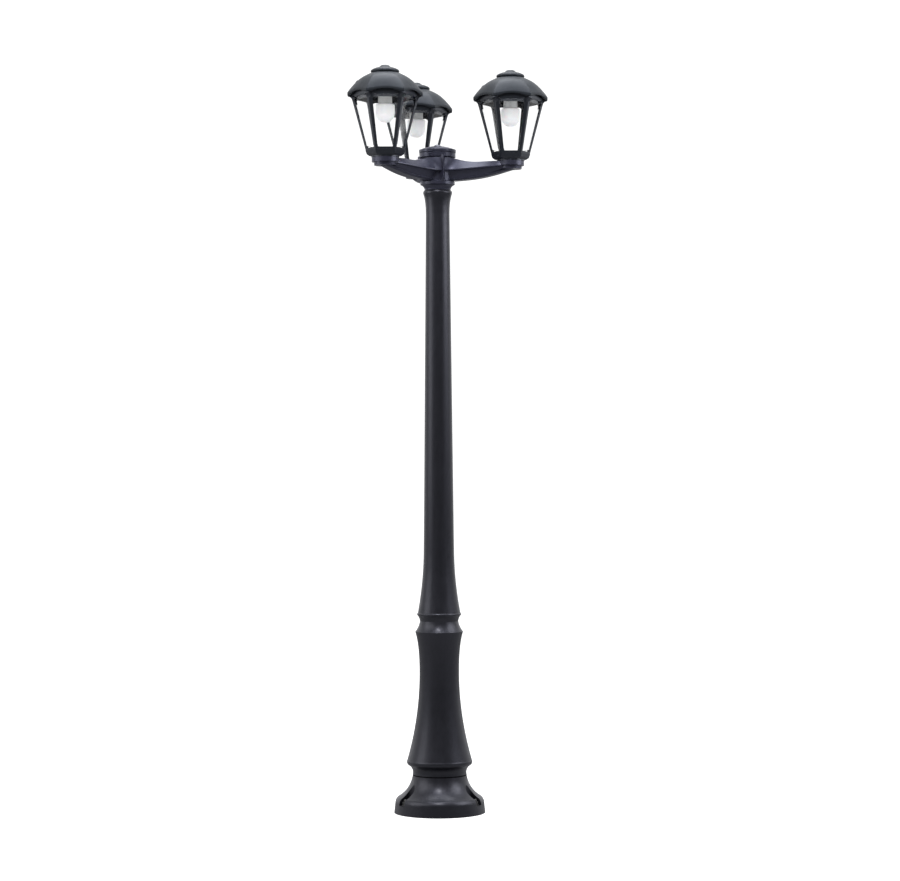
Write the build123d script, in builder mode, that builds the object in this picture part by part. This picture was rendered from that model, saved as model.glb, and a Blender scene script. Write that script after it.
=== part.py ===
from build123d import *
from math import atan, cos, degrees, radians, sin, sqrt, tan
import os

# Triple head lamp post: a moulded post on a bolted foot, with a three-armed hub that
# carries three six-sided lanterns. Each lantern's roof lifts off with its lamp holder,
# the lamp pulls down out of its holder, and the cover over the wiring lifts off the hub.
# Z is up, the ground is z = 0 and the post's axis is the Z axis. Sizes are millimetres.

os.makedirs("parts", exist_ok=True)

# ---------------------------------------------------------------- clearances
SIDES = 6                    # a lantern is a hexagon
COS30 = cos(radians(30))     # a hexagon's flat stands at this share of its corner radius
plug_gap = 0.2               # round a spigot in its socket
lift_gap = 0.4               # under and round a cover that lifts off
hole_gap = 0.4               # round a fastener's shank
seat_gap = 0.05              # under a fastener's head or nut

# ---------------------------------------------------------------- foot
foot_r = 129.5               # radius on the ground
rim_top_r = 126.5            # the rim leans in a little
rim_height = 28.0
rim_round = 1.8              # how far the rim's rounded shoulder bulges from its chord
shoulder_r = 119.0
shoulder_height = 44.5
flare_sag = 8.9              # hollow of the flare from its chord
foot_height = 107.0
foot_wall = 10.5
foot_web = 11.0              # thickness under the column
boss_r = 34.0
rib_count = 6
rib_thickness = 6.0
cable_r = 18.0               # cable entry through the foot
cable_length = 30.0

# ---------------------------------------------------------------- anchors
anchor_count = 3
anchor_circle_r = 113.0
anchor_stud_r = 5.0
anchor_stud_proud = 7.5      # domed end above the nut
nut_flats = 17.0
nut_height = 8.4
washer_r = 10.5
washer_thickness = 2.4
pocket_floor = 26.0          # the nuts stand on this height in their pockets
pocket_width = 27.0
pocket_inner_r = 84.0
pocket_wall = 6.0

# ---------------------------------------------------------------- column
wall = 4.0                   # moulded wall of column and shaft
column_base_r = 76.7
column_neck_r = 76.0
column_neck_height = 8.0
lip_under_r = 87.0
lip_under_height = 27.0
lip_r = 93.0
lip_height = 35.0
lip_top_r = 91.6
lip_top_height = 42.5
waist_r = 56.1
waist_height = 292.0
crown_r = 68.0
crown_height = 406.0
column_height = 436.0
joint_r = 54.5               # the groove where shaft meets column

# ---------------------------------------------------------------- shaft
collar_r = 62.2
collar_height = 17.0
collar_top_r = 60.4
collar_top_height = 23.5
taper_bottom_r = 43.1
taper_bottom_height = 202.0
taper_top_r = 33.7
taper_top_height = 1154.0
ring_r = 41.0
ring_rise = 58.6             # from the taper's top to the ring
ring_top_r = 37.0
ring_thickness = 10.0
foot_spigot = 15.0           # how far each piece's spigot stands in its neighbour
shaft_spigot = 30.0
hub_spigot = 15.0

# ---------------------------------------------------------------- core tube
tube_r = 21.2
tube_wall = 2.6
tube_proud = 12.0            # above the hub's floor
locknut_flats = 55.0
locknut_height = 10.0

# ---------------------------------------------------------------- hub
flange_r = 49.0
flange_under_height = 15.0
flange_top_height = 23.0
hub_r = 46.0
prow_r = 59.0                # the three vertical edges between the arms
prow_foot_height = 22.0
prow_rise = 13.0
prow_top_height = 97.0
neck_r = 51.5
neck_bottom_height = 90.0
hub_height = 104.4
chamber_r = 40.0
chamber_depth = 58.0
hub_floor = 8.0

# ---------------------------------------------------------------- hub cover
cover_r = 52.6
cover_rim_height = 10.0
cover_cone_r = 12.0
cover_cone_height = 19.5
cover_tip_height = 24.7
cover_tip_r = 2.0
cover_plug_depth = 8.0
cover_wall = 3.0

# ---------------------------------------------------------------- arms
head_turn = 15.5             # arms turned on the post, degrees
arm_reach = 212.0            # post axis to lantern axis
prow_gap = 0.5               # between an arm's root and the prows' flat sides
root_crown_width = 83.0      # an arm's root is as wide as the prows on each side leave it
root_ridge_width = 91.0
arm_drop = 27.0              # the arm's crown at its lantern, below the hub's top
ridge_width = 68.0
keel_width = 52.0
bead_inset = 5.0             # the bead under the keel is narrower on each side
seat_r = 38.0                # round seat under the lantern
seat_height = 13.5
seat_round = 1.0
under_seat_r = 31.0
under_seat_depth = 9.5
under_seat_draft = 8.0
wire_r = 5.0

# ---------------------------------------------------------------- lantern base
base_ring_height = 3.0
spigot_r = 27.8
spigot_depth = 7.0
base_chamfer_r = 44.0
base_low_r = 51.6
base_low_height = 8.0
base_top_r = 55.4
base_height = 19.0
base_wall = 4.2
base_floor = 11.0
fixing_r = 8.0               # hollow threaded tube that holds a lantern on its arm
fixing_wall = 2.0
fixing_depth = 20.5          # how far the tube screws into the arm
fixing_nut_flats = 24.0
fixing_nut_height = 6.0

# ---------------------------------------------------------------- cage
cage_bottom_r = 54.5
cage_top_r = 94.9
cage_height = 152.0
band_height = 12.0           # upright band above the sloping sides
cage_wall = 3.5
rail_height = 5.5            # below the windows
post_bottom_width = 7.0      # each post's leg, on each side of its corner
post_top_width = 10.5
arch_height = 147.5          # window top at mid-side
arch_spring = 139.0          # window top at the posts
arch_flat = 12.0             # half of the window top's straight middle
corbel_thickness = 10.5
corbel_proud = 9.0           # past the cage's corner
corbel_depth = 14.0
corbel_nose = 2.2            # upright edge at the corbel's tip
corbel_sag = 3.4
channel_wall = 2.5           # inner wall of the channel that the panes' tops stand in
channel_depth = 25.0
channel_web = 2.0
channel_arch = 13.6          # the inner wall's window top, above the channel's foot
channel_round = 9.0
vent_length = 18.0
vent_width = 3.6
vent_slope = 28.0
vent_inset = 17.0            # from the corner, along the side
vent_drop = 5.5              # below the cage's sloping top
lug_size = 3.2
lug_spread = 22.0

# ---------------------------------------------------------------- panes
pane_thickness = 2.5
pane_gap = 0.3
pane_lift = 5.0              # each pane stands on lugs above the rail

# ---------------------------------------------------------------- roof
seal_height = 2.0
roof_overhang = 10.1         # past the cage's corners
roof_drop = 11.6             # the eaves' corners hang below the cage's top
eaves_height = 9.0
eaves_arch = 8.6             # the eaves rise this much between corners
roof_wall = 3.0
skirt_depth = 10.0
skirt_wall = 2.5
seat_ring_thickness = 2.6
dome_mid_step = 14.0         # in from the eaves' corners
dome_mid_height = 26.5
dome_upper_step = 26.0
dome_upper_height = 39.0
dome_high_step = 44.0
dome_high_height = 52.0
dome_top_step = 66.5
dome_top_height = 63.0

# ---------------------------------------------------------------- finial
finial_r = 39.5
finial_rim_height = 8.0
finial_slope_r = 24.0
finial_slope_height = 14.0
knob_r = 14.5
knob_foot_height = 17.5
knob_height = 22.0

# ---------------------------------------------------------------- lamp
plate_step = 43.0            # the plate is this much smaller than the eaves
plate_thickness = 2.5
plate_height = 40.0          # above the eaves' corners
pillar_r = 4.5
pillar_circle_r = 48.0
holder_r = 20.0
holder_length = 31.0
holder_flange_r = 25.0
holder_flange = 4.0
lamp_cap_r = 13.2
lamp_cap_length = 27.0
cap_gap = 0.4
globe_r = 26.6
globe_wall = 1.6
globe_round = 4.0            # corner between the globe's side and its flat top
globe_mouth_r = 17.0
globe_height = 51.6          # flat top to lowest point
housing_r = 19.8
housing_top_r = 19.0
housing_height = 33.0
housing_chamfer = 1.5
screw_r = 2.0
screw_head_r = 3.8
screw_head = 2.4
screw_length = 12.0
plug_r = 4.5
plug_proud = 0.8
plug_sunk = 1.2

# ---------------------------------------------------------------- heights that follow
joint_z = foot_height + column_height
ring_height = taper_top_height + ring_rise
shaft_height = ring_height + ring_thickness
shaft_top_z = joint_z + shaft_height
hub_top_z = shaft_top_z + hub_height
chamber_z = hub_top_z - chamber_depth
arm_end_z = hub_top_z - arm_drop
base_z = arm_end_z
cage_z = base_z + base_height
cage_slope_top_z = cage_z + cage_height
cage_top_z = cage_slope_top_z + band_height
corbel_reach_r = cage_top_r + corbel_proud
roof_r = cage_top_r + roof_overhang
dome_mid_r = roof_r - dome_mid_step
dome_upper_r = roof_r - dome_upper_step
dome_high_r = roof_r - dome_high_step
dome_top_r = roof_r - dome_top_step
plate_r = roof_r - plate_step
roof_z = cage_top_z - roof_drop
seat_ring_z = cage_top_z + seal_height + lift_gap
plate_z = roof_z + plate_height
dome_top_z = roof_z + dome_top_height
holder_z = plate_z - holder_length
cap_z = holder_z + cap_gap
shoulder_z = holder_z - housing_height
globe_z = shoulder_z - globe_height

anchor_angles = [90 + 360 / anchor_count * k for k in range(anchor_count)]
arm_angles = {"right": head_turn - 30, "rear": head_turn + 90, "left": head_turn - 150}
prow_angles = [head_turn + 30 + 120 * k for k in range(3)]


def hexagon_flat(corner_r):
    """Distance from a hexagon's middle to its flats."""
    return corner_r * COS30


def save(piece, name):
    """Label a finished piece and write it to its own file."""
    piece.label = name
    export_step(piece, f"parts/{name}.step")
    print(f"{name}: {piece.volume / 1000:.1f} cm3")


# ================================================================ foot
with BuildPart() as foot_hollow:
    with BuildSketch(Plane.XZ):
        with BuildLine():
            Polyline(
                (0, 0),
                (foot_r - foot_wall, 0),
                (column_base_r - foot_wall, foot_height - foot_web),
                (0, foot_height - foot_web),
                close=True,
            )
        make_face()
    revolve(axis=Axis.Z)
    # what stays standing inside: the middle boss, the ribs and the anchor pockets' walls
    with BuildSketch():
        Circle(boss_r)
        with PolarLocations(0, rib_count, start_angle=30):
            with Locations((foot_r / 2, 0)):
                Rectangle(foot_r, rib_thickness)
        with PolarLocations(0, anchor_count, start_angle=90):
            with Locations(((foot_r + pocket_inner_r - pocket_wall) / 2, 0)):
                Rectangle(foot_r - pocket_inner_r + pocket_wall, pocket_width + 2 * pocket_wall)
    extrude(amount=foot_height, mode=Mode.SUBTRACT)

with BuildPart() as foot:
    with BuildSketch(Plane.XZ):
        with BuildLine():
            Polyline((0, foot_height), (0, 0), (foot_r, 0), (rim_top_r, rim_height))
            SagittaArc((rim_top_r, rim_height), (shoulder_r, shoulder_height), -rim_round)
            SagittaArc((shoulder_r, shoulder_height), (column_base_r, foot_height), flare_sag)
            Line((column_base_r, foot_height), (0, foot_height))
        make_face()
    revolve(axis=Axis.Z)
    # the spigot that the column drops over
    with BuildSketch(Plane.XY.offset(foot_height)):
        Circle(column_neck_r - wall - plug_gap)
        Circle(column_neck_r - 2 * wall, mode=Mode.SUBTRACT)
    extrude(amount=foot_spigot)
    add(foot_hollow.part, mode=Mode.SUBTRACT)
    # anchor pockets, open at the rim so that a spanner reaches the nuts
    with BuildSketch(Plane.XY.offset(pocket_floor)):
        with PolarLocations(pocket_inner_r + foot_r / 2, anchor_count, start_angle=90):
            SlotOverall(foot_r, pocket_width)
    extrude(amount=foot_height, mode=Mode.SUBTRACT)
    with BuildSketch():
        with PolarLocations(anchor_circle_r, anchor_count, start_angle=90):
            Circle(anchor_stud_r + hole_gap)
    extrude(amount=pocket_floor, mode=Mode.SUBTRACT)
    with BuildSketch():
        Circle(cable_r)
    extrude(amount=foot_height, mode=Mode.SUBTRACT)
    with BuildSketch(Plane.XY.offset(cable_length)):
        Circle(tube_r + plug_gap)
    extrude(amount=foot_height, mode=Mode.SUBTRACT)
save(foot.part, "foot")

washer_z = pocket_floor + seat_gap
nut_z = washer_z + washer_thickness + seat_gap
stud_top_z = nut_z + nut_height + anchor_stud_proud

with BuildPart() as anchor_washers:
    with BuildSketch(Plane.XY.offset(washer_z)):
        with PolarLocations(anchor_circle_r, anchor_count, start_angle=90):
            Circle(washer_r)
            Circle(anchor_stud_r + hole_gap, mode=Mode.SUBTRACT)
    extrude(amount=washer_thickness)
save(anchor_washers.part, "anchor_washers")

with BuildPart() as anchor_nuts:
    with BuildSketch(Plane.XY.offset(nut_z)):
        with PolarLocations(anchor_circle_r, anchor_count, start_angle=90):
            RegularPolygon(nut_flats / 2, SIDES, major_radius=False)
            Circle(anchor_stud_r + seat_gap, mode=Mode.SUBTRACT)
    extrude(amount=nut_height)
    chamfer(anchor_nuts.faces().sort_by(Axis.Z)[-anchor_count:].edges(), 0.6)
save(anchor_nuts.part, "anchor_nuts")

with BuildPart() as anchor_studs:
    with BuildSketch(Plane.XY.offset(seat_gap)):
        with PolarLocations(anchor_circle_r, anchor_count, start_angle=90):
            Circle(anchor_stud_r)
    extrude(amount=stud_top_z - seat_gap)
    stud_ends = anchor_studs.faces().sort_by(Axis.Z)[-anchor_count:]
    fillet(stud_ends.edges(), anchor_stud_r * 0.7)
save(anchor_studs.part, "anchor_studs")


# ================================================================ column and shaft
def column_outline(inset):
    """Half section of the column, from the foot's seam to the groove under the shaft."""
    foot_seam = (column_base_r - inset, foot_height)
    neck = (column_neck_r - inset, foot_height + column_neck_height)
    under = (lip_under_r - inset, foot_height + lip_under_height)
    lip = (lip_r - inset, foot_height + lip_height)
    lip_top = (lip_top_r - inset, foot_height + lip_top_height)
    waist = (waist_r - inset, foot_height + waist_height)
    crown = (crown_r - inset, foot_height + crown_height)
    top = (joint_r - inset, joint_z)
    bell_pull = (waist_r - inset, foot_height + (lip_top_height + waist_height) / 2)
    crown_pull = (waist_r - inset, foot_height + (2 * crown_height + waist_height) / 3)
    Line(foot_seam, neck)
    SagittaArc(neck, under, 2.6)
    ThreePointArc(under, lip, lip_top)
    Bezier(lip_top, bell_pull, waist)
    Bezier(waist, crown_pull, crown)
    SagittaArc(crown, top, 2.2)
    Polyline(top, (0, joint_z), (0, foot_height), foot_seam)


def shaft_outline(inset):
    """Half section of the shaft, from the groove to the ring under the hub."""
    top = shaft_top_z
    foot_point = (joint_r - inset, joint_z)
    collar = (collar_r - inset, joint_z + collar_height)
    collar_top = (collar_top_r - inset, joint_z + collar_top_height)
    taper_foot = (taper_bottom_r - inset, joint_z + taper_bottom_height)
    taper_head = (taper_top_r - inset, joint_z + taper_top_height)
    ring = (ring_r - inset, joint_z + ring_height)
    ring_top = (ring_top_r - inset, top)
    pull = (taper_bottom_r + 0.9 - inset, joint_z + (collar_top_height + taper_bottom_height) / 2)
    ring_pull = (taper_top_r - inset, joint_z + (taper_top_height + 2 * ring_height) / 3)
    SagittaArc(foot_point, collar, 1.6)
    SagittaArc(collar, collar_top, -1.2)
    Bezier(collar_top, pull, taper_foot)
    Line(taper_foot, taper_head)
    Bezier(taper_head, ring_pull, ring)
    SagittaArc(ring, ring_top, -1.8)
    Polyline(ring_top, (0, top), (0, joint_z), foot_point)


with BuildPart() as lower_column:
    with BuildSketch(Plane.XZ):
        with BuildLine():
            column_outline(0)
        make_face()
        with BuildLine():
            column_outline(wall)
        make_face(mode=Mode.SUBTRACT)
    revolve(axis=Axis.Z)
save(lower_column.part, "lower_column")

with BuildPart() as shaft:
    with BuildSketch(Plane.XZ):
        with BuildLine():
            shaft_outline(0)
        make_face()
        with BuildLine():
            shaft_outline(wall)
        make_face(mode=Mode.SUBTRACT)
    revolve(axis=Axis.Z)
    # spigot that drops into the column, and the web that joins it to the wall
    with BuildSketch(Plane.XY.offset(joint_z - shaft_spigot)):
        Circle(joint_r - wall - plug_gap)
        Circle(joint_r - 2 * wall, mode=Mode.SUBTRACT)
    extrude(amount=shaft_spigot)
    with BuildSketch(Plane.XY.offset(joint_z)):
        Circle(joint_r - wall / 2)
        Circle(joint_r - 2 * wall, mode=Mode.SUBTRACT)
    extrude(amount=wall)
save(shaft.part, "shaft")

tube_top_z = chamber_z + tube_proud

with BuildPart() as core_tube:
    with BuildSketch(Plane.XY.offset(cable_length + seat_gap)):
        Circle(tube_r)
        Circle(tube_r - tube_wall, mode=Mode.SUBTRACT)
    extrude(amount=tube_top_z - cable_length - seat_gap)
save(core_tube.part, "core_tube")

with BuildPart() as core_nuts:
    for nut_bottom in (foot_height + seat_gap, chamber_z + seat_gap):
        with BuildSketch(Plane.XY.offset(nut_bottom)):
            RegularPolygon(locknut_flats / 2, SIDES, major_radius=False)
            Circle(tube_r + seat_gap, mode=Mode.SUBTRACT)
        extrude(amount=locknut_height)
save(core_nuts.part, "core_nuts")

# ================================================================ hub
with BuildPart() as prow:
    with BuildSketch(Plane.XY.offset(shaft_top_z + prow_foot_height)):
        RegularPolygon(prow_r, 3, rotation=prow_angles[0])
    extrude(amount=prow_top_height - prow_foot_height)
    fillet(prow.edges().filter_by(Axis.Z), 1.5)
    with BuildSketch(Plane.XZ):
        with BuildLine():
            Polyline(
                (0, shaft_top_z),
                (flange_r, shaft_top_z + prow_foot_height),
                (prow_r, shaft_top_z + prow_foot_height + prow_rise),
                (prow_r, hub_top_z),
                (0, hub_top_z),
                close=True,
            )
        make_face()
    revolve(axis=Axis.Z, mode=Mode.INTERSECT)

with BuildPart() as hub:
    with BuildSketch(Plane.XZ):
        with BuildLine():
            start = (ring_top_r, shaft_top_z)
            flange_under = (flange_r, shaft_top_z + flange_under_height)
            flange_top = (flange_r, shaft_top_z + flange_top_height)
            SagittaArc(start, flange_under, 3.2)
            Polyline(
                flange_under,
                flange_top,
                (hub_r, shaft_top_z + flange_top_height + flange_r - hub_r),
                (hub_r, shaft_top_z + neck_bottom_height),
                (neck_r, shaft_top_z + neck_bottom_height + (neck_r - hub_r) / 2),
                (neck_r, hub_top_z),
                (0, hub_top_z),
                (0, shaft_top_z),
                start,
            )
        make_face()
    revolve(axis=Axis.Z)
    add(prow.part)
    with BuildSketch(Plane.XY.offset(shaft_top_z - hub_spigot)):
        Circle(ring_top_r - wall - plug_gap)
    extrude(amount=hub_spigot)
    # hollow from below round the core tube, and the wiring chamber from above
    with BuildSketch(Plane.XY.offset(shaft_top_z - hub_spigot)):
        Circle(ring_top_r - 2 * wall)
    extrude(amount=hub_spigot + hub_height - chamber_depth - hub_floor, mode=Mode.SUBTRACT)
    with BuildSketch(Plane.XY.offset(chamber_z)):
        Circle(chamber_r)
    extrude(amount=chamber_depth, mode=Mode.SUBTRACT)
    with BuildSketch(Plane.XY.offset(shaft_top_z)):
        Circle(tube_r + plug_gap)
    extrude(amount=hub_height, mode=Mode.SUBTRACT)

# screws and wire ways through the hub's wall into each arm
arm_screw_r = 3.0
arm_screw_head_r = 5.5
arm_screw_head = 4.0
arm_screw_length = 34.0
arm_screw_spread = 14.0
arm_screw_z = hub_top_z - 27.0
wire_z = hub_top_z - 38.0
arm_screw_seat = sqrt(chamber_r**2 - (arm_screw_spread + arm_screw_head_r) ** 2) - seat_gap

for angle in arm_angles.values():
    radial = Plane(origin=(0, 0, 0), x_dir=(-sin(radians(angle)), cos(radians(angle)), 0),
                   z_dir=(cos(radians(angle)), sin(radians(angle)), 0))
    with BuildPart(mode=Mode.PRIVATE) as ways:
        with BuildSketch(radial):
            with Locations((-arm_screw_spread, arm_screw_z), (arm_screw_spread, arm_screw_z)):
                Circle(arm_screw_r + hole_gap)
            with Locations((0, wire_z)):
                Circle(wire_r)
        extrude(amount=neck_r)
    with hub:
        add(ways.part, mode=Mode.SUBTRACT)
save(hub.part, "hub")

cover_z = hub_top_z + lift_gap
with BuildPart() as hub_cover:
    with BuildSketch(Plane.XZ):
        with BuildLine():
            rim = (cover_r, cover_z + cover_rim_height - 1.5)
            shoulder = (cover_r - 2.5, cover_z + cover_rim_height)
            cone = (cover_cone_r, cover_z + cover_cone_height)
            tip = (cover_tip_r, cover_z + cover_tip_height)
            Polyline((0, cover_z), (cover_r - 1.2, cover_z), (cover_r, cover_z + 2.5), rim)
            SagittaArc(rim, shoulder, -0.6)
            SagittaArc(shoulder, cone, -1.6)
            SagittaArc(cone, tip, -0.9)
            Polyline(tip, (0, cover_z + cover_tip_height), (0, cover_z))
        make_face()
    revolve(axis=Axis.Z)
    with BuildSketch(Plane.XY.offset(cover_z - cover_plug_depth)):
        Circle(chamber_r - lift_gap)
        Circle(chamber_r - lift_gap - cover_wall, mode=Mode.SUBTRACT)
    extrude(amount=cover_plug_depth)
save(hub_cover.part, "hub_cover")

# terminal block against the chamber's wall, facing the foremost prow
block_width = 34.0
block_depth = 12.0
block_height = 22.0
block_z = chamber_z + locknut_height + 6.0
block_outer = sqrt((chamber_r - plug_gap) ** 2 - (block_width / 2) ** 2)
block_ways = 3
with BuildPart() as terminal_block:
    with BuildSketch(Plane.XY.offset(block_z)):
        with Locations((block_outer - block_depth / 2, 0)):
            Rectangle(block_depth, block_width)
    extrude(amount=block_height)
    with BuildSketch(Plane.XY.offset(block_z + block_height)):
        with Locations((block_outer - block_depth / 2, 0)):
            with GridLocations(1, block_width / block_ways, 1, block_ways):
                Rectangle(block_depth / 2, block_width / block_ways - 3)
    extrude(amount=-block_height / 2, mode=Mode.SUBTRACT)
save(terminal_block.part.rotate(Axis.Z, prow_angles[2]), "terminal_block")


# ================================================================ arms
def arm_section(along, crown_z, crown_width, ridge_z, ridge_wide, keel_wide, keel_z):
    """One cross-section of an arm: sloping flanks over a narrower keel with a bead."""
    ridge = ridge_wide / 2
    keel = keel_wide / 2
    bead = keel - bead_inset
    half = [
        (crown_width / 2, crown_z),
        (ridge, ridge_z),
        (ridge, ridge_z - 3),
        (keel, ridge_z - 5),
        (bead - 2.5, keel_z + 6.5),
        (bead, keel_z + 4.5),
        (bead - 5, keel_z),
    ]
    points = half + [(-y, z) for y, z in reversed(half)]
    with BuildSketch(Plane(origin=(along, 0, 0), x_dir=(0, 1, 0), z_dir=(1, 0, 0))) as section:
        with BuildLine():
            Polyline(*points, close=True)
        make_face()
    return section.sketch


seat_under_z = arm_end_z - seat_height
under_z = seat_under_z
arm_root = prow_r / 2 + prow_gap
arm_sections = [
    arm_section(arm_root, arm_end_z + 13, root_crown_width, under_z - 9,
                root_ridge_width, keel_width + 4, under_z - 39.5),
    arm_section(arm_root + 30, arm_end_z + 8, 40, under_z - 8,
                ridge_width + 4, keel_width + 1, under_z - 38.5),
    arm_section(arm_root + 55, arm_end_z + 2.2, 34, under_z - 6.5,
                ridge_width, keel_width, under_z - 37),
    arm_section(arm_root + 108, arm_end_z - 1.2, 44, under_z - 3,
                ridge_width - 1.4, keel_width - 1, under_z - 30.5),
    arm_section(arm_reach - 30, arm_end_z - 1.5, 54, under_z,
                ridge_width - 4, keel_width - 3, under_z - 20.5),
    arm_section(arm_reach + 8, arm_end_z - 5, 44, under_z + 1,
                ridge_width - 19, keel_width - 14.5, under_z - 11),
]

with BuildPart() as arm_seat:
    # round seat for the lantern, with a smaller tapered step under it
    with BuildSketch(Plane.XZ):
        with BuildLine():
            step_draft = under_seat_depth * tan(radians(under_seat_draft))
            Polyline(
                (0, seat_under_z - under_seat_depth),
                (under_seat_r, seat_under_z - under_seat_depth),
                (under_seat_r + step_draft, seat_under_z),
                (seat_r, seat_under_z),
                (seat_r, arm_end_z - seat_round),
            )
            bulge = seat_round * (1 - cos(radians(45)))
            ThreePointArc((seat_r, arm_end_z - seat_round), (seat_r - bulge, arm_end_z - bulge),
                          (seat_r - seat_round, arm_end_z))
            Polyline((seat_r - seat_round, arm_end_z), (0, arm_end_z),
                     (0, seat_under_z - under_seat_depth))
        make_face()
    revolve(axis=Axis.Z)

with BuildPart() as arm:
    loft(sections=arm_sections)
    add(arm_seat.part.moved(Location((arm_reach, 0, 0))))
    # the hub's wall, neck and flange, and the prows on both sides
    with BuildSketch(Plane.XY.offset(shaft_top_z)):
        Circle(hub_r + plug_gap)
    extrude(amount=hub_height, mode=Mode.SUBTRACT)
    with BuildSketch(Plane.XY.offset(shaft_top_z)):
        Circle(flange_r + plug_gap)
    extrude(amount=flange_top_height + flange_r - hub_r + plug_gap, mode=Mode.SUBTRACT)
    with BuildSketch(Plane.XY.offset(shaft_top_z + neck_bottom_height - plug_gap)):
        Circle(neck_r + plug_gap)
    extrude(amount=hub_height, mode=Mode.SUBTRACT)
    # the lantern's spigot and the threaded hole for its fixing tube
    with BuildSketch(Plane.XY.offset(arm_end_z - spigot_depth - plug_gap)):
        with Locations((arm_reach, 0)):
            Circle(spigot_r + plug_gap)
    extrude(amount=arm_drop, mode=Mode.SUBTRACT)
    with BuildSketch(Plane.XY.offset(arm_end_z - fixing_depth)):
        with Locations((arm_reach, 0)):
            Circle(fixing_r + seat_gap)
    extrude(amount=hub_height, mode=Mode.SUBTRACT)
    with BuildSketch(Plane.YZ):
        with Locations((0, wire_z)):
            Circle(wire_r)
    extrude(amount=arm_reach, mode=Mode.SUBTRACT)
    with BuildSketch(Plane.YZ):
        with Locations((-arm_screw_spread, arm_screw_z), (arm_screw_spread, arm_screw_z)):
            Circle(arm_screw_r + seat_gap)
    extrude(amount=arm_screw_seat + arm_screw_length + seat_gap, mode=Mode.SUBTRACT)

for side, angle in arm_angles.items():
    save(arm.part.rotate(Axis.Z, angle), f"arm_{side}")

with BuildPart() as arm_screws:
    for angle in arm_angles.values():
        radial = Plane(origin=(0, 0, 0), x_dir=(-sin(radians(angle)), cos(radians(angle)), 0),
                       z_dir=(cos(radians(angle)), sin(radians(angle)), 0))
        with BuildSketch(radial.offset(arm_screw_seat - arm_screw_head)):
            with Locations((-arm_screw_spread, arm_screw_z), (arm_screw_spread, arm_screw_z)):
                Circle(arm_screw_head_r)
        extrude(amount=arm_screw_head)
        with BuildSketch(radial.offset(arm_screw_seat)):
            with Locations((-arm_screw_spread, arm_screw_z), (arm_screw_spread, arm_screw_z)):
                Circle(arm_screw_r)
        extrude(amount=arm_screw_length)
save(arm_screws.part, "arm_screws")

# ================================================================ one lantern, on its own axis
lantern = {}
lug_r = 5.5
lug_circle_r = 43.0

with BuildPart() as base:
    with BuildSketch(Plane.XY.offset(base_z - spigot_depth)):
        Circle(spigot_r)
    extrude(amount=spigot_depth)
    with BuildSketch(Plane.XY.offset(base_z)):
        Circle(seat_r + 1)
    extrude(amount=base_ring_height)
    with BuildSketch(Plane.XY.offset(base_z + base_ring_height)):
        RegularPolygon(base_chamfer_r, SIDES)
    with BuildSketch(Plane.XY.offset(base_z + base_low_height)):
        RegularPolygon(base_low_r, SIDES)
    with BuildSketch(Plane.XY.offset(base_z + base_height)):
        RegularPolygon(base_top_r, SIDES)
    loft(ruled=True)
    with BuildSketch(Plane.XY.offset(base_z + base_floor)):
        RegularPolygon(base_low_r - base_wall, SIDES)
    with BuildSketch(Plane.XY.offset(base_z + base_height)):
        RegularPolygon(base_top_r - base_wall, SIDES)
    loft(ruled=True, mode=Mode.SUBTRACT)
    # posts that take the cage's screws
    with BuildSketch(Plane.XY.offset(base_z + base_floor)):
        with PolarLocations(lug_circle_r, SIDES // 2):
            Circle(lug_r)
    extrude(amount=base_height - base_floor)
    with BuildSketch(Plane.XY.offset(base_z + base_floor - 4)):
        with PolarLocations(lug_circle_r, SIDES // 2):
            Circle(screw_r + seat_gap)
    extrude(amount=base_height, mode=Mode.SUBTRACT)
    with BuildSketch(Plane.XY.offset(base_z - spigot_depth)):
        Circle(fixing_r + hole_gap)
    extrude(amount=base_height + spigot_depth, mode=Mode.SUBTRACT)
lantern["base"] = base.part

fixing_bottom_z = arm_end_z - fixing_depth + seat_gap
floor_z = base_z + base_floor + seat_gap
with BuildPart() as fixing:
    with BuildSketch(Plane.XY.offset(fixing_bottom_z)):
        Circle(fixing_r)
        Circle(fixing_r - fixing_wall, mode=Mode.SUBTRACT)
    extrude(amount=floor_z + fixing_nut_height + 2 - fixing_bottom_z)
    # way in for the wires, on the side that the arm comes from
    with BuildSketch(Plane(origin=(0, 0, wire_z), x_dir=(0, 1, 0), z_dir=(-1, 0, 0))):
        Circle(wire_r)
    extrude(amount=fixing_r * 2, mode=Mode.SUBTRACT)
    # the nut inside the lantern's base
    with BuildSketch(Plane.XY.offset(floor_z)):
        RegularPolygon(fixing_nut_flats / 2, SIDES, major_radius=False)
        Circle(fixing_r + seat_gap, mode=Mode.SUBTRACT)
    extrude(amount=fixing_nut_height)

# a face plane lies on each sloping side of the cage: x along the side, y up the slope
lean = atan(hexagon_flat(cage_top_r - cage_bottom_r) / cage_height)
slope_length = cage_height / cos(lean)


def side_planes(depth):
    """The six sloping sides, moved inwards by depth."""
    planes = []
    for k in range(SIDES):
        turn = radians(60 * k + 30)
        outward = Vector(cos(turn) * cos(lean), sin(turn) * cos(lean), -sin(lean))
        flat = hexagon_flat(cage_bottom_r)
        foot_point = Vector(cos(turn) * flat, sin(turn) * flat, cage_z)
        along = Vector(-sin(turn), cos(turn), 0)
        planes.append(Plane(origin=foot_point - outward * depth, x_dir=along, z_dir=outward))
    return planes


def half_side(height, inset=0.0):
    """Half the width of a sloping side, this high above the cage's foot."""
    corner = cage_bottom_r + (cage_top_r - cage_bottom_r) * height / cage_height
    return corner / 2 - inset / COS30 / 2


inner_inset = cage_wall / COS30 / cos(lean)

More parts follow.
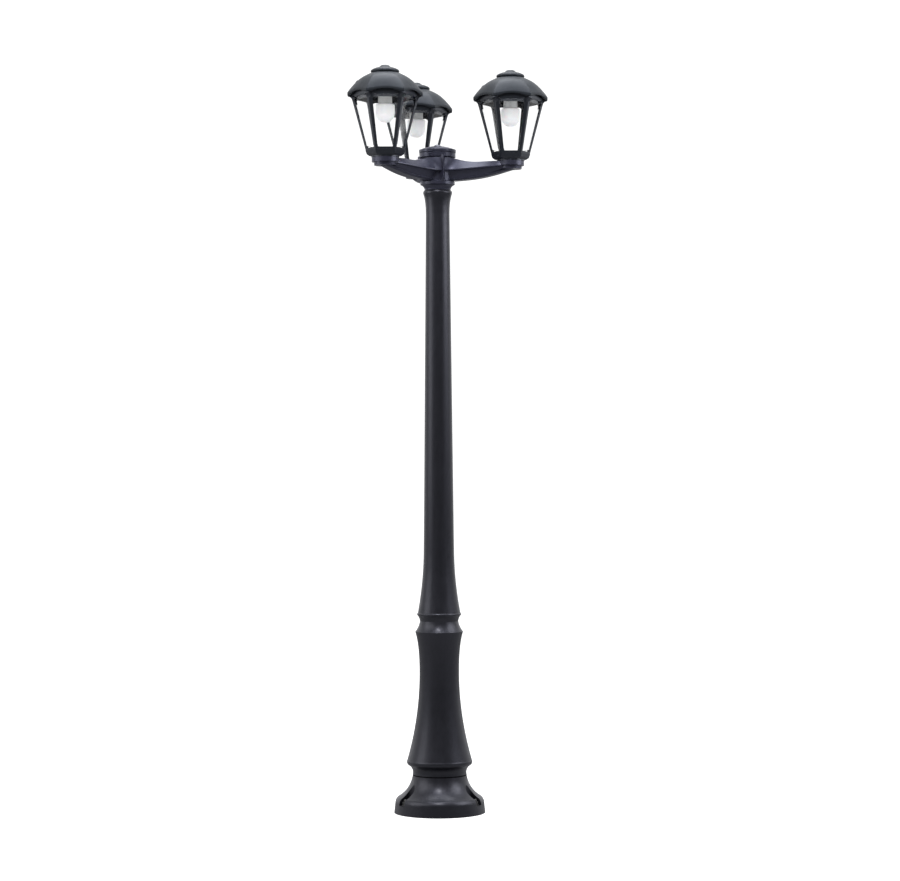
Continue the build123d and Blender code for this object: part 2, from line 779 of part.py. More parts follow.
with BuildPart() as corbels:
    corner_r = cage_top_r
    tip_z = roof_z - lift_gap - 0.1
    low_r = cage_bottom_r + (cage_top_r - cage_bottom_r) * (tip_z - corbel_depth - cage_z) / cage_height
    for k in range(SIDES):
        turn = radians(60 * k)
        upright = Plane(origin=(0, 0, 0), x_dir=(cos(turn), sin(turn), 0),
                        z_dir=(sin(turn), -cos(turn), 0))
        with BuildSketch(upright):
            with BuildLine():
                nose = (corbel_reach_r, tip_z - corbel_nose)
                SagittaArc((low_r, tip_z - corbel_depth), nose, corbel_sag)
                Polyline(
                    nose,
                    (corbel_reach_r, tip_z),
                    (corner_r - 6, tip_z),
                    (low_r - 3, tip_z - corbel_depth),
                    (low_r, tip_z - corbel_depth),
                )
            make_face()
        extrude(amount=corbel_thickness / 2, both=True)

# the channel round the inside of the cage's top, which the panes' upper edges stand in
channel_inset = cage_wall + 2 * pane_gap + pane_thickness
channel_top = cage_height
channel_foot = channel_top - channel_depth


def cage_hexagon(height, depth):
    """Corner radius of the cage's hexagon this high above its foot, this deep in its wall."""
    corner = cage_bottom_r + (cage_top_r - cage_bottom_r) * height / cage_height
    return corner - depth / COS30 / cos(lean)


with BuildPart() as pane_channel:
    for inset, mode in ((channel_inset, Mode.ADD), (channel_inset + channel_wall, Mode.SUBTRACT)):
        with BuildSketch(Plane.XY.offset(cage_z + channel_foot)):
            RegularPolygon(cage_hexagon(channel_foot, inset), SIDES)
        with BuildSketch(Plane.XY.offset(cage_z + channel_top)):
            RegularPolygon(cage_hexagon(channel_top, inset), SIDES)
        loft(ruled=True, mode=mode)
    with BuildSketch(*side_planes(0)) as channel_window:
        with BuildLine():
            low = (channel_foot - channel_arch) / cos(lean)
            high = (channel_foot + channel_arch - channel_inset * sin(lean)) / cos(lean)
            half = half_side(channel_foot + channel_arch) - post_top_width
            Polyline((-half, low), (-half, high), (half, high), (half, low), close=True)
        make_face()
        fillet(channel_window.vertices().group_by(Axis.Y)[-1], channel_round)
    extrude(amount=-channel_inset - 2 * channel_wall, mode=Mode.SUBTRACT)
    with BuildSketch(Plane.XY.offset(cage_z + channel_top - channel_web)):
        RegularPolygon(cage_hexagon(channel_top, cage_wall / 2), SIDES)
        RegularPolygon(cage_hexagon(channel_top, channel_inset + channel_wall / 2), SIDES,
                       mode=Mode.SUBTRACT)
    extrude(amount=channel_web)

with BuildPart() as cage:
    with BuildSketch(Plane.XY.offset(cage_z)):
        RegularPolygon(cage_bottom_r, SIDES)
    with BuildSketch(Plane.XY.offset(cage_slope_top_z)):
        RegularPolygon(cage_top_r, SIDES)
    loft(ruled=True)
    with BuildSketch(Plane.XY.offset(cage_slope_top_z)):
        RegularPolygon(cage_top_r, SIDES)
    extrude(amount=band_height)
    add(corbels.part)
    with BuildSketch(Plane.XY.offset(cage_z)):
        RegularPolygon(cage_bottom_r - inner_inset, SIDES)
    with BuildSketch(Plane.XY.offset(cage_slope_top_z)):
        RegularPolygon(cage_top_r - inner_inset, SIDES)
    loft(ruled=True, mode=Mode.SUBTRACT)
    with BuildSketch(Plane.XY.offset(cage_slope_top_z)):
        RegularPolygon(cage_top_r - inner_inset, SIDES)
    extrude(amount=band_height, mode=Mode.SUBTRACT)
    # windows
    with BuildSketch(*side_planes(-corbel_thickness)):
        with BuildLine():
            sill = rail_height / cos(lean)
            spring = arch_spring / cos(lean)
            crown = arch_height / cos(lean)
            sill_half = half_side(rail_height) - post_bottom_width
            spring_half = half_side(arch_spring) - post_top_width
            Polyline((-spring_half, spring), (-sill_half, sill), (sill_half, sill),
                     (spring_half, spring))
            TangentArc((arch_flat, crown), (spring_half, spring), tangent=(1, 0))
            TangentArc((-arch_flat, crown), (-spring_half, spring), tangent=(-1, 0))
            Line((-arch_flat, crown), (arch_flat, crown))
        make_face()
    extrude(amount=-corbel_thickness - 2 * cage_wall, mode=Mode.SUBTRACT)
    add(pane_channel.part)
    # slanting vents beside each corner, under the eaves
    with BuildSketch(*side_planes(-corbel_thickness)):
        vent_y = (cage_height - vent_drop) / cos(lean)
        vent_x = half_side(cage_height) - vent_inset
        with Locations(Location((vent_x, vent_y, 0), vent_slope)):
            Rectangle(vent_length, vent_width)
        with Locations(Location((-vent_x, vent_y, 0), -vent_slope)):
            Rectangle(vent_length, vent_width)
    extrude(amount=-corbel_thickness - 1.5 * cage_wall, mode=Mode.SUBTRACT)
    # small lugs on the rail that the panes stand on, and lugs for the base's screws
    with BuildSketch(*side_planes(cage_wall)):
        with Locations((-lug_spread, (rail_height + pane_lift) / 2), (lug_spread, (rail_height + pane_lift) / 2)):
            Rectangle(lug_size, rail_height + pane_lift)
    extrude(amount=-lug_size)
    with BuildSketch(Plane.XY.offset(cage_z)):
        with PolarLocations(lug_circle_r, SIDES // 2):
            Circle(lug_r)
    extrude(amount=rail_height)
    with BuildSketch(Plane.XY.offset(cage_z)):
        with PolarLocations(lug_circle_r, SIDES // 2):
            Circle(screw_r + hole_gap)
    extrude(amount=cage_height, mode=Mode.SUBTRACT)
lantern["cage"] = cage.part

with BuildPart() as cage_screws:
    with BuildSketch(Plane.XY.offset(cage_z + rail_height + seat_gap)):
        with PolarLocations(lug_circle_r, SIDES // 2):
            Circle(screw_head_r)
    extrude(amount=screw_head)
    with BuildSketch(Plane.XY.offset(cage_z + rail_height + seat_gap)):
        with PolarLocations(lug_circle_r, SIDES // 2):
            Circle(screw_r)
    extrude(amount=-screw_length)
lantern["cage_screws"] = cage_screws.part

pane_bottom = rail_height + pane_lift + pane_gap
pane_top = channel_top - channel_web - pane_gap - channel_inset * sin(lean)
with BuildPart() as panes:
    with BuildSketch(*side_planes(cage_wall + pane_gap)):
        with BuildLine():
            edge = (cage_wall + pane_gap + pane_thickness) / cos(lean) * tan(radians(30)) + pane_gap
            low_half = half_side(pane_bottom) - edge
            high_half = half_side(pane_top) - edge
            low = pane_bottom / cos(lean)
            high = pane_top / cos(lean)
            Polyline((-low_half, low), (low_half, low), (high_half, high), (-high_half, high), close=True)
        make_face()
    extrude(amount=-pane_thickness)
lantern["panes"] = panes.part

with BuildPart() as roof_seal:
    with BuildSketch(Plane.XY.offset(cage_top_z)):
        RegularPolygon(cage_top_r - 0.4, SIDES)
        RegularPolygon(cage_top_r - inner_inset + 0.4, SIDES, mode=Mode.SUBTRACT)
    extrude(amount=seal_height)
lantern["roof_seal"] = roof_seal.part


# ================================================================ roof
def bowed_hexagon(corner_r, flat_share):
    """Draw a hexagon whose sides bow out: its flats stand at flat_share of the corner radius."""
    for k in range(SIDES):
        start, middle, end = (radians(60 * k + step) for step in (0, 30, 60))
        ThreePointArc(
            (corner_r * cos(start), corner_r * sin(start)),
            (corner_r * flat_share * cos(middle), corner_r * flat_share * sin(middle)),
            (corner_r * cos(end), corner_r * sin(end)),
        )


dome = [
    (roof_r + 4, -2.0, 0.885),
    (roof_r - 0.5, eaves_height, 0.895),
    (dome_mid_r, dome_mid_height, 0.935),
    (dome_upper_r, dome_upper_height, 0.96),
    (dome_high_r, dome_high_height, 0.985),
    (dome_top_r, dome_top_height, 0.999),
]

with BuildPart() as roof_hollow:
    for corner_r, height, share in dome:
        with BuildSketch(Plane.XY.offset(roof_z + height - roof_wall * 0.8)):
            with BuildLine():
                bowed_hexagon(corner_r - roof_wall, share)
            make_face()
    loft()
    with BuildSketch(Plane.XY.offset(roof_z - 3)):
        RegularPolygon(roof_r - roof_wall, SIDES)
    extrude(amount=dome_top_height, mode=Mode.INTERSECT)

with BuildPart() as eaves_cut:
    with BuildSketch(*[Plane(origin=(0, 0, roof_z), x_dir=(-sin(radians(a)), cos(radians(a)), 0),
                             z_dir=(cos(radians(a)), sin(radians(a)), 0))
                       for a in (30, 90, 150, 210, 270, 330)]):
        with BuildLine():
            ThreePointArc((-roof_r / 2, 0), (0, eaves_arch), (roof_r / 2, 0))
            Polyline((roof_r / 2, 0), (roof_r / 2, -20), (-roof_r / 2, -20), (-roof_r / 2, 0))
        make_face()
    extrude(amount=roof_r + 10)

with BuildPart() as dome_body:
    for corner_r, height, share in dome:
        with BuildSketch(Plane.XY.offset(roof_z + height)):
            with BuildLine():
                bowed_hexagon(corner_r, share)
            make_face()
    loft()
    with BuildSketch(Plane.XY.offset(roof_z - 3)):
        RegularPolygon(roof_r, SIDES)
    extrude(amount=dome_top_height + 10, mode=Mode.INTERSECT)

# pillars inside the dome that carry the lamp holder's plate
with BuildPart() as pillars:
    with BuildSketch(Plane.XY.offset(plate_z + plate_thickness)):
        with PolarLocations(pillar_circle_r, 3, start_angle=30):
            Circle(pillar_r)
    extrude(amount=dome_top_height)
    add(dome_body.part.moved(Location((0, 0, -roof_wall / 2))), mode=Mode.INTERSECT)
    with BuildSketch(Plane.XY.offset(plate_z + plate_thickness)):
        with PolarLocations(pillar_circle_r, 3, start_angle=30):
            Circle(screw_r + seat_gap)
    extrude(amount=screw_length - plate_thickness, mode=Mode.SUBTRACT)

with BuildPart() as roof:
    add(dome_body.part)
    add(roof_hollow.part, mode=Mode.SUBTRACT)
    add(pillars.part)
    add(eaves_cut.part, mode=Mode.SUBTRACT)
    # ring that rests on the seal, and the skirt inside the cage that centres the roof
    with BuildSketch(Plane.XY.offset(seat_ring_z)):
        with BuildLine():
            bowed_hexagon(roof_r - roof_wall - 4, 0.91)
        make_face()
        RegularPolygon(cage_top_r - inner_inset - lift_gap / COS30 - skirt_wall, SIDES, mode=Mode.SUBTRACT)
    extrude(amount=seat_ring_thickness)
    with BuildSketch(Plane.XY.offset(seat_ring_z - skirt_depth)):
        RegularPolygon(cage_top_r - inner_inset - lift_gap / COS30 - 0.3, SIDES)
        RegularPolygon(cage_top_r - inner_inset - lift_gap / COS30 - skirt_wall, SIDES, mode=Mode.SUBTRACT)
    extrude(amount=skirt_depth)
    # seat for the plug in the left hip
    hip_slope = atan((dome_upper_height - dome_mid_height) / (dome_mid_r - dome_upper_r))
    hip_point = Vector(-dome_upper_r, 0, roof_z + dome_upper_height)
    hip_out = Vector(-sin(hip_slope), 0, cos(hip_slope))
    plug_plane = Plane(origin=hip_point, x_dir=(0, 1, 0), z_dir=hip_out)
    with BuildSketch(plug_plane.offset(-plug_sunk)):
        Circle(plug_r + plug_gap)
    extrude(amount=plug_r, mode=Mode.SUBTRACT)
lantern["roof"] = roof.part

with BuildPart() as roof_plug:
    with BuildSketch(plug_plane.offset(seat_gap - plug_sunk)):
        Circle(plug_r)
    extrude(amount=plug_sunk + plug_proud)
    fillet(roof_plug.faces().sort_by(Axis((0, 0, 0), hip_out))[-1].edges(), 0.5)
lantern["roof_plug"] = roof_plug.part

finial_z = dome_top_z + seat_gap
with BuildPart() as finial:
    with BuildSketch(Plane.XZ):
        with BuildLine():
            under = (finial_r - 2.5, finial_z)
            rim = (finial_r, finial_z + 2.5)
            rim_top = (finial_r - 1.5, finial_z + finial_rim_height)
            slope = (finial_slope_r, finial_z + finial_slope_height)
            knob_foot = (knob_r, finial_z + knob_foot_height)
            knob_top = (knob_r * 0.45, finial_z + knob_height - 0.5)
            Polyline((0, finial_z), under, rim)
            SagittaArc(rim, rim_top, -0.8)
            SagittaArc(rim_top, slope, -0.6)
            SagittaArc(slope, knob_foot, 0.5)
            SagittaArc(knob_foot, knob_top, -1.2)
            Polyline(knob_top, (0, finial_z + knob_height), (0, finial_z))
        make_face()
    revolve(axis=Axis.Z)
lantern["finial"] = finial.part

# ================================================================ lamp holder and lamp
with BuildPart() as holder_plate:
    with BuildSketch(Plane.XY.offset(plate_z)):
        Circle(plate_r)
        Circle(wire_r + 1, mode=Mode.SUBTRACT)
        with PolarLocations(pillar_circle_r, 3, start_angle=30):
            Circle(screw_r + hole_gap, mode=Mode.SUBTRACT)
    extrude(amount=plate_thickness)
lantern["holder_plate"] = holder_plate.part

with BuildPart() as plate_screws:
    with BuildSketch(Plane.XY.offset(plate_z - seat_gap)):
        with PolarLocations(pillar_circle_r, 3, start_angle=30):
            Circle(screw_head_r)
    extrude(amount=-screw_head)
    with BuildSketch(Plane.XY.offset(plate_z - seat_gap)):
        with PolarLocations(pillar_circle_r, 3, start_angle=30):
            Circle(screw_r)
    extrude(amount=screw_length)
lantern["plate_screws"] = plate_screws.part

with BuildPart() as lamp_holder:
    with BuildSketch(Plane.XZ):
        with BuildLine():
            top = plate_z - seat_gap
            Polyline(
                (lamp_cap_r + cap_gap, holder_z),
                (holder_r - 1.5, holder_z),
                (holder_r, holder_z + 1.5),
                (holder_r, top - holder_flange - 4),
                (holder_flange_r, top - holder_flange),
                (holder_flange_r, top),
                (0, top),
                (0, cap_z + lamp_cap_length + cap_gap),
                (lamp_cap_r + cap_gap, cap_z + lamp_cap_length + cap_gap),
                close=True,
            )
        make_face()
    revolve(axis=Axis.Z)
lantern["lamp_holder"] = lamp_holder.part

with BuildPart() as bulb_cap:
    with BuildSketch(Plane.XZ):
        with BuildLine():
            Polyline(
                (0, cap_z),
                (lamp_cap_r, cap_z),
                (lamp_cap_r, cap_z + lamp_cap_length - 7),
                (lamp_cap_r - 4, cap_z + lamp_cap_length - 2),
                (4.5, cap_z + lamp_cap_length - 2),
                (3.5, cap_z + lamp_cap_length - seat_gap),
                (0, cap_z + lamp_cap_length - seat_gap),
                close=True,
            )
        make_face()
    revolve(axis=Axis.Z)
lantern["bulb_cap"] = bulb_cap.part

with BuildPart() as bulb_body:
    with BuildSketch(Plane.XZ):
        with BuildLine():
            neck_r_in_cap = lamp_cap_r - 0.6
            housing_top = holder_z - cap_gap
            Polyline(
                (0, shoulder_z),
                (housing_r, shoulder_z),
                (housing_top_r, housing_top - housing_chamfer),
                (housing_top_r - housing_chamfer, housing_top),
                (neck_r_in_cap, housing_top),
                (neck_r_in_cap, cap_z - seat_gap),
                (0, cap_z - seat_gap),
                close=True,
            )
        make_face()
    revolve(axis=Axis.Z)
lantern["bulb_body"] = bulb_body.part

def globe_outline(inset):
    """Half section of the lamp's globe: a flat top with a round shoulder, and a round bottom."""
    centre_z = globe_z + globe_r
    top_z = shoulder_z - seat_gap - inset
    side_r = globe_r - inset
    corner = globe_round - inset
    bottom_z = globe_z + inset
    slant = cos(radians(45))
    Line((0, top_z), (side_r - corner, top_z))
    ThreePointArc(
        (side_r - corner, top_z),
        (side_r - corner * (1 - slant), top_z - corner * (1 - slant)),
        (side_r, top_z - corner),
    )
    Line((side_r, top_z - corner), (side_r, centre_z))
    ThreePointArc((side_r, centre_z), (side_r * slant, centre_z - side_r * slant), (0, bottom_z))
    Line((0, bottom_z), (0, top_z))


with BuildPart() as bulb_globe:
    with BuildSketch(Plane.XZ):
        with BuildLine():
            globe_outline(0)
        make_face()
        with BuildLine():
            globe_outline(globe_wall)
        make_face(mode=Mode.SUBTRACT)
    revolve(axis=Axis.Z)
    with BuildSketch(Plane.XY.offset(shoulder_z)):
        Circle(globe_mouth_r)
    extrude(amount=-globe_r, mode=Mode.SUBTRACT)
lantern["bulb_globe"] = bulb_globe.part

# ================================================================ the three lanterns in place
for side, angle in arm_angles.items():
    place = Location((arm_reach * cos(radians(angle)), arm_reach * sin(radians(angle)), 0))
    save(fixing.part.rotate(Axis.Z, angle).moved(place), f"fixing_{side}")
    for name, piece in lantern.items():
        save(piece.moved(place), f"{name}_{side}")
    print(f"{side} lantern: {place.position.X:.2f} {place.position.Y:.2f}, lean {degrees(lean):.2f}")
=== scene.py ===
# %% [markdown]
# # A triple head lamp post
#
# The real object is a garden post in near-black moulded resin. It stands on a bolted foot and
# its three arms carry six-sided lanterns with clear panes and round white lamps.
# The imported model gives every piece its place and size. This lesson loads it, gives each piece
# a finish made of shader nodes, and adds the small things that solids leave plain: threads,
# screw heads, contacts and soft edges. All lengths are in metres.

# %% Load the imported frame
from math import cos, pi, radians, sin, tan, tau

import bmesh
import bpy
from mathutils import Matrix, Vector


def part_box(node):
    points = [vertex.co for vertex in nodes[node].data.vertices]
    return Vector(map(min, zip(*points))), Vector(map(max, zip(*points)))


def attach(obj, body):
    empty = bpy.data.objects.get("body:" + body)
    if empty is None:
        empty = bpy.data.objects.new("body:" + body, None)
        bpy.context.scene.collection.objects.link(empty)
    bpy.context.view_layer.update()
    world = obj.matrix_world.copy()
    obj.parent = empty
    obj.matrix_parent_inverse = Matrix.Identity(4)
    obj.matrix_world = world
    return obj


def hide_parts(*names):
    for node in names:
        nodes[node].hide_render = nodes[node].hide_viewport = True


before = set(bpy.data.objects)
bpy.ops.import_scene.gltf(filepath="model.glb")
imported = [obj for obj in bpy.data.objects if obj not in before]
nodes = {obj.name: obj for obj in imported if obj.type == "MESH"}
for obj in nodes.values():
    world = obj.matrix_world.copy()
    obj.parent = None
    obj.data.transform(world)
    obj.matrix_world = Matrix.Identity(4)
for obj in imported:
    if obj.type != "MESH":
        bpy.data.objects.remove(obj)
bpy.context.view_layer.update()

SIDES = ("left", "right", "rear")
MM = 0.001

# %% [markdown]
# ## The camera
#
# A catalogue photo of a tall thing is taken from far away with a long lens, which keeps the post
# straight from foot to roof. The three lanterns stand at three depths and show at three scales,
# which gives the distance: 7.3 m. The horizon is half way up, so the camera is level and nothing
# has to be shifted. It stands about a degree and a half to the left of the foot's own front,
# which brings the left and rear lanterns to where the photo has them, and a hair of roll matches
# the slight lean of the post.

# %% Camera
PHOTO_WIDTH = 900.0            # pixels
AXIS_PIXEL = 438.5             # the post's axis, left of the middle
METRES_PER_PIXEL = 0.00284     # at the post's axis
CAMERA_DISTANCE = 7.3
CAMERA_HEIGHT = 1.055
CAMERA_ROLL = radians(0.206)
CAMERA_TURN = radians(-1.6)
SENSOR_WIDTH = 36.0            # millimetres, as the lens's length is
FAR_CLIP = 60.0


def add_object(name, data):
    """Show a camera, a light or a mesh as a new object in the scene."""
    thing = bpy.data.objects.new(name, data)
    bpy.context.scene.collection.objects.link(thing)
    return thing


camera_data = bpy.data.cameras.new("photo_camera")
camera_data.sensor_width = SENSOR_WIDTH
lens_pixels = CAMERA_DISTANCE / METRES_PER_PIXEL
camera_data.lens = lens_pixels / PHOTO_WIDTH * SENSOR_WIDTH
camera_data.clip_end = FAR_CLIP
camera = add_object("photo_camera", camera_data)
camera_x = (PHOTO_WIDTH / 2 - AXIS_PIXEL) * METRES_PER_PIXEL
turned_view = Matrix.Rotation(CAMERA_TURN, 3, "Z")
camera.location = turned_view @ Vector((camera_x, -CAMERA_DISTANCE, CAMERA_HEIGHT))
camera.rotation_euler = (pi / 2, CAMERA_ROLL, CAMERA_TURN)
bpy.context.scene.camera = camera
print(f"lens {camera_data.lens:.1f} mm, middle of the picture {camera_x / MM:.0f} mm off the post")

# %% [markdown]
# ## Small helpers for shader nodes
#
# Each finish is a small tree of nodes. Adding a node, setting its sockets and joining it to the
# next takes three lines every time, so one helper does that and keeps the recipes readable.

# %% Node helpers
NOISE_ROUGHNESS = 0.55
WHITE = (1.0, 1.0, 1.0)
BLACK = (0.0, 0.0, 0.0)


def opaque(colour):
    """A colour socket takes a fourth number, which is always 1 here."""
    return (*colour, 1.0)


def shader_of(finish):
    return finish.node_tree.nodes["Principled BSDF"]


def new_finish(name):
    """A material with its Principled shader, ready for nodes."""
    finish = bpy.data.materials.new(name)
    finish.use_nodes = True
    return finish, finish.node_tree, shader_of(finish)


def fill(tree, node, sockets):
    """Set each input socket to its value, or join it to the output that is given for it."""
    for key, value in sockets.items():
        if isinstance(value, bpy.types.NodeSocket):
            tree.links.new(value, node.inputs[key])
        else:
            node.inputs[key].default_value = value


def add_node(tree, kind, sockets=None, **settings):
    """Add a node, set its properties, then fill its input sockets."""
    node = tree.nodes.new("ShaderNode" + kind)
    for key, value in settings.items():
        setattr(node, key, value)
    fill(tree, node, sockets or {})
    return node


def place_of(tree):
    """The place on the piece itself, so that a finish rides along with it."""
    return add_node(tree, "TexCoord").outputs["Object"]


def arithmetic(tree, operation, *values):
    """One sum. Each value is a number or another node's output."""
    node = add_node(tree, "Math", dict(enumerate(values)), operation=operation)
    return node.outputs["Value"]


def noise(tree, place, scale, detail):
    """Noise that sits still on the piece, whatever the camera does."""
    node = add_node(tree, "TexNoise", {"Vector": place, "Scale": scale, "Detail": detail,
                                       "Roughness": NOISE_ROUGHNESS})
    return node.outputs["Fac"]


def spread(tree, value, low=0.0, high=1.0, from_low=0.3, from_high=0.7):
    """Stretch a noise value from its usual range on to the one that is needed."""
    node = add_node(tree, "MapRange", {"Value": value, "From Min": from_low,
                                       "From Max": from_high, "To Min": low, "To Max": high})
    return node.outputs["Result"]


def two_tone(tree, value, dark, light):
    """Two colours blended by a value from 0 to 1."""
    node = add_node(tree, "Mix", {"Factor": value, "A": opaque(dark), "B": opaque(light)},
                    data_type="RGBA")
    return node.outputs["Result"]


def soft_edges(tree, radius, samples=4):
    """The surface's direction, rounded near every edge."""
    return add_node(tree, "Bevel", {"Radius": radius}, samples=samples).outputs["Normal"]


def relief(tree, height, depth, strength, under):
    """Shallow relief on top of the surface's direction that is given."""
    node = add_node(tree, "Bump", {"Height": height, "Distance": depth, "Strength": strength,
                                   "Normal": under})
    return node.outputs["Normal"]


print("node helpers ready")

# %% [markdown]
# ## The moulded resin
#
# Post, arms and lanterns are moulded in resin that is coloured all through. It isn't a flat
# black. The melt flows unevenly, so the grey drifts a little over a hand's width, and along the
# way it flowed it leaves faint long streaks. The mould is finely blasted, which gives a grain
# under a millimetre that breaks up the gloss, under a thin smoother skin. Nothing is sharp
# either: a Bevel node rounds the shading of every edge, by about half a millimetre on most
# pieces and by much more on the soft roofs.
#
# The foot and the column above it are separate mouldings. The finish paints the shade in the seam
# between them: both go black, and lose their gloss, within about a millimetre of it.

# %% Resin finish
DRIFT_SCALE = 9.0              # a noise's scale is about its number of waves in a metre
SMEAR_SCALE = 55.0
STREAK_SCALE = 130.0
STREAK_SQUEEZE = 0.12          # upright squeeze of the place, which makes the streaks tall
GLOSS_DRIFT = 0.05             # swing of the roughness to each side
SMEAR_RANGE = (0.7, 1.3)       # usual range of smear and streaks together
RIPPLE_SCALE = 40.0
RIPPLE_DEPTH = 0.25 * MM
RIPPLE_STRENGTH = 0.18
GRAIN_SCALE = 1500.0
GRAIN_DEPTH = 0.05 * MM
GRAIN_STRENGTH = 0.35
SKIN_ROUGHNESS = 0.24
RESIN_BEVEL_SAMPLES = 6
# Painted shade in the foot's seam: half its height, where it has faded, and its colour.
SEAM_SHADE_HALF = 1.1 * MM
SEAM_SHADE_FADE = 1.6 * SEAM_SHADE_HALF    # where the seam's dark has gone
SEAM_PAINTED_SHADE = (0.0004, 0.0004, 0.0005)
foot_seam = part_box("lower_column")[0][2]


def clear_of_painted_shade(tree, height):
    """Mask of the seam's painted shade: 0 in the seam at the given height, 1 a little above and
    below it.
    """
    position = add_node(tree, "NewGeometry").outputs["Position"]
    own_height = add_node(tree, "SeparateXYZ", {"Vector": position}).outputs["Z"]
    away = arithmetic(tree, "ABSOLUTE", arithmetic(tree, "SUBTRACT", own_height, height))
    return spread(tree, away, from_low=SEAM_SHADE_HALF, from_high=SEAM_SHADE_FADE)


def resin(name, dark, light, gloss, sheen, skin=0.3, mirror=0.5, soft=0.6 * MM, seam=None):
    """Resin that drifts from dark to light. Its skin and its mirror are weak or strong. Given a
    seam's height, it paints shade into the seam.
    """
    finish, tree, shader = new_finish(name)
    fill(tree, shader, {"Specular Tint": opaque(sheen), "Specular IOR Level": mirror,
                        "Coat Tint": opaque(sheen), "Coat Weight": skin,
                        "Coat Roughness": SKIN_ROUGHNESS})
    place = place_of(tree)
    tone = spread(tree, noise(tree, place, DRIFT_SCALE, detail=4.0))
    if seam is None:
        colour = two_tone(tree, tone, dark, light)
    else:
        # Painted shade: the colour goes black and the mirror and skin fade out within about a
        # millimetre of the seam.
        outside_painted_shade = clear_of_painted_shade(tree, seam)
        dark_with_painted_shade = two_tone(tree, outside_painted_shade, SEAM_PAINTED_SHADE, dark)
        light_with_painted_shade = two_tone(tree, outside_painted_shade, BLACK, light)
        mixed = add_node(tree, "Mix", {"Factor": tone, "A": dark_with_painted_shade, "B": light_with_painted_shade},
                         data_type="RGBA", blend_type="LIGHTEN")
        colour = mixed.outputs["Result"]
        for socket, most in (("Specular IOR Level", mirror), ("Coat Weight", skin)):
            fill(tree, shader, {socket: arithmetic(tree, "MULTIPLY", outside_painted_shade, most)})
    smear = noise(tree, place, SMEAR_SCALE, detail=3.0)
    tall = add_node(tree, "Mapping", {"Vector": place, "Scale": (1.0, 1.0, STREAK_SQUEEZE)})
    streak = noise(tree, tall.outputs["Vector"], STREAK_SCALE, detail=2.0)
    uneven = arithmetic(tree, "ADD", smear, streak)
    roughness = spread(tree, uneven, gloss - GLOSS_DRIFT, gloss + GLOSS_DRIFT, *SMEAR_RANGE)
    waves = relief(tree, noise(tree, place, RIPPLE_SCALE, detail=2.0), RIPPLE_DEPTH,
                   RIPPLE_STRENGTH, soft_edges(tree, soft, RESIN_BEVEL_SAMPLES))
    grained = relief(tree, noise(tree, place, GRAIN_SCALE, detail=2.0), GRAIN_DEPTH,
                     GRAIN_STRENGTH, waves)
    fill(tree, shader, {"Base Color": colour, "Roughness": roughness, "Normal": grained})
    return finish


# The post's resin paints shade into the seam at its foot.
post_resin = resin("post_resin", (0.0040, 0.0041, 0.0054), (0.0068, 0.0069, 0.0088),
                   gloss=0.42, sheen=(0.84, 0.85, 1.0), skin=0.20, seam=foot_seam)
lantern_resin = resin("lantern_resin", (0.0070, 0.0080, 0.0100), (0.0110, 0.0122, 0.0150),
                      gloss=0.40, sheen=(0.80, 0.86, 1.0))
# The roof's softer edges and weaker gloss are its own; its lighter, bluer colour is painted light
# from above.
roof_resin_painted_light = resin("roof_resin_painted_light", (0.0120, 0.0138, 0.0165), (0.0175, 0.0200, 0.0235),
                   gloss=0.50, sheen=(0.80, 0.87, 1.0), skin=0.06, mirror=0.26, soft=4.0 * MM)
# The arms and the hub take a lighter, bluer copy of the resin: painted light that falls on them
# from above.
arm_resin_painted_light = resin("arm_resin_painted_light", (0.0200, 0.0205, 0.0310), (0.0270, 0.0275, 0.0400),
                  gloss=0.38, sheen=(0.74, 0.76, 1.0), skin=0.25)
print("four batches of resin: post, lantern, roof and arm")

# %% [markdown]
# ## Metal, rubber and white plastic
#
# The fasteners are zinc plated, which is duller than chrome and slightly mottled, where the
# plating's crystals catch the light. The lamp's cap is nickel plated. Inside each lantern the
# lamp holder and the plate above it are black, and so is the rubber seal. The lamp's opal globe
# and housing pass the daylight on from all round, which a very weak glow stands for.

# %% Metal finishes
METAL_GLOSS_DRIFT = 0.07
METAL_EDGE = 0.3 * MM
CRYSTAL_RANGE = (0.1, 0.8)     # usual range of the distance to a crystal's middle
PATCH_SCALE = 0.3              # scale of the dull patches, as a share of the crystals'
PIT_DEPTH = 0.03 * MM
PIT_STRENGTH = 0.3


def metal(name, dark, light, gloss, spangle):
    """Plated metal. The spangle is the scale of its crystals."""
    finish, tree, shader = new_finish(name)
    place = place_of(tree)
    crystals = add_node(tree, "TexVoronoi", {"Vector": place, "Scale": spangle})
    tone = spread(tree, crystals.outputs["Distance"], 0.0, 1.0, *CRYSTAL_RANGE)
    patches = noise(tree, place, spangle * PATCH_SCALE, detail=3.0)
    fill(tree, shader, {
        "Metallic": 1.0,
        "Base Color": two_tone(tree, tone, dark, light),
        "Roughness": spread(tree, patches, gloss - METAL_GLOSS_DRIFT, gloss + METAL_GLOSS_DRIFT),
        "Normal": relief(tree, crystals.outputs["Distance"], PIT_DEPTH, PIT_STRENGTH,
                         soft_edges(tree, METAL_EDGE)),
    })
    return finish


zinc = metal("zinc_plating", (0.30, 0.31, 0.32), (0.52, 0.53, 0.54), gloss=0.42, spangle=350.0)
dull_zinc = metal("weathered_zinc", (0.05, 0.05, 0.052), (0.10, 0.10, 0.10),
                  gloss=0.5, spangle=300.0)
nickel = metal("nickel_plating", (0.55, 0.53, 0.50), (0.72, 0.70, 0.66), gloss=0.22, spangle=500.0)
brass = metal("brass_contact", (0.55, 0.38, 0.14), (0.72, 0.52, 0.22), gloss=0.28, spangle=500.0)
print("zinc, nickel and brass ready")

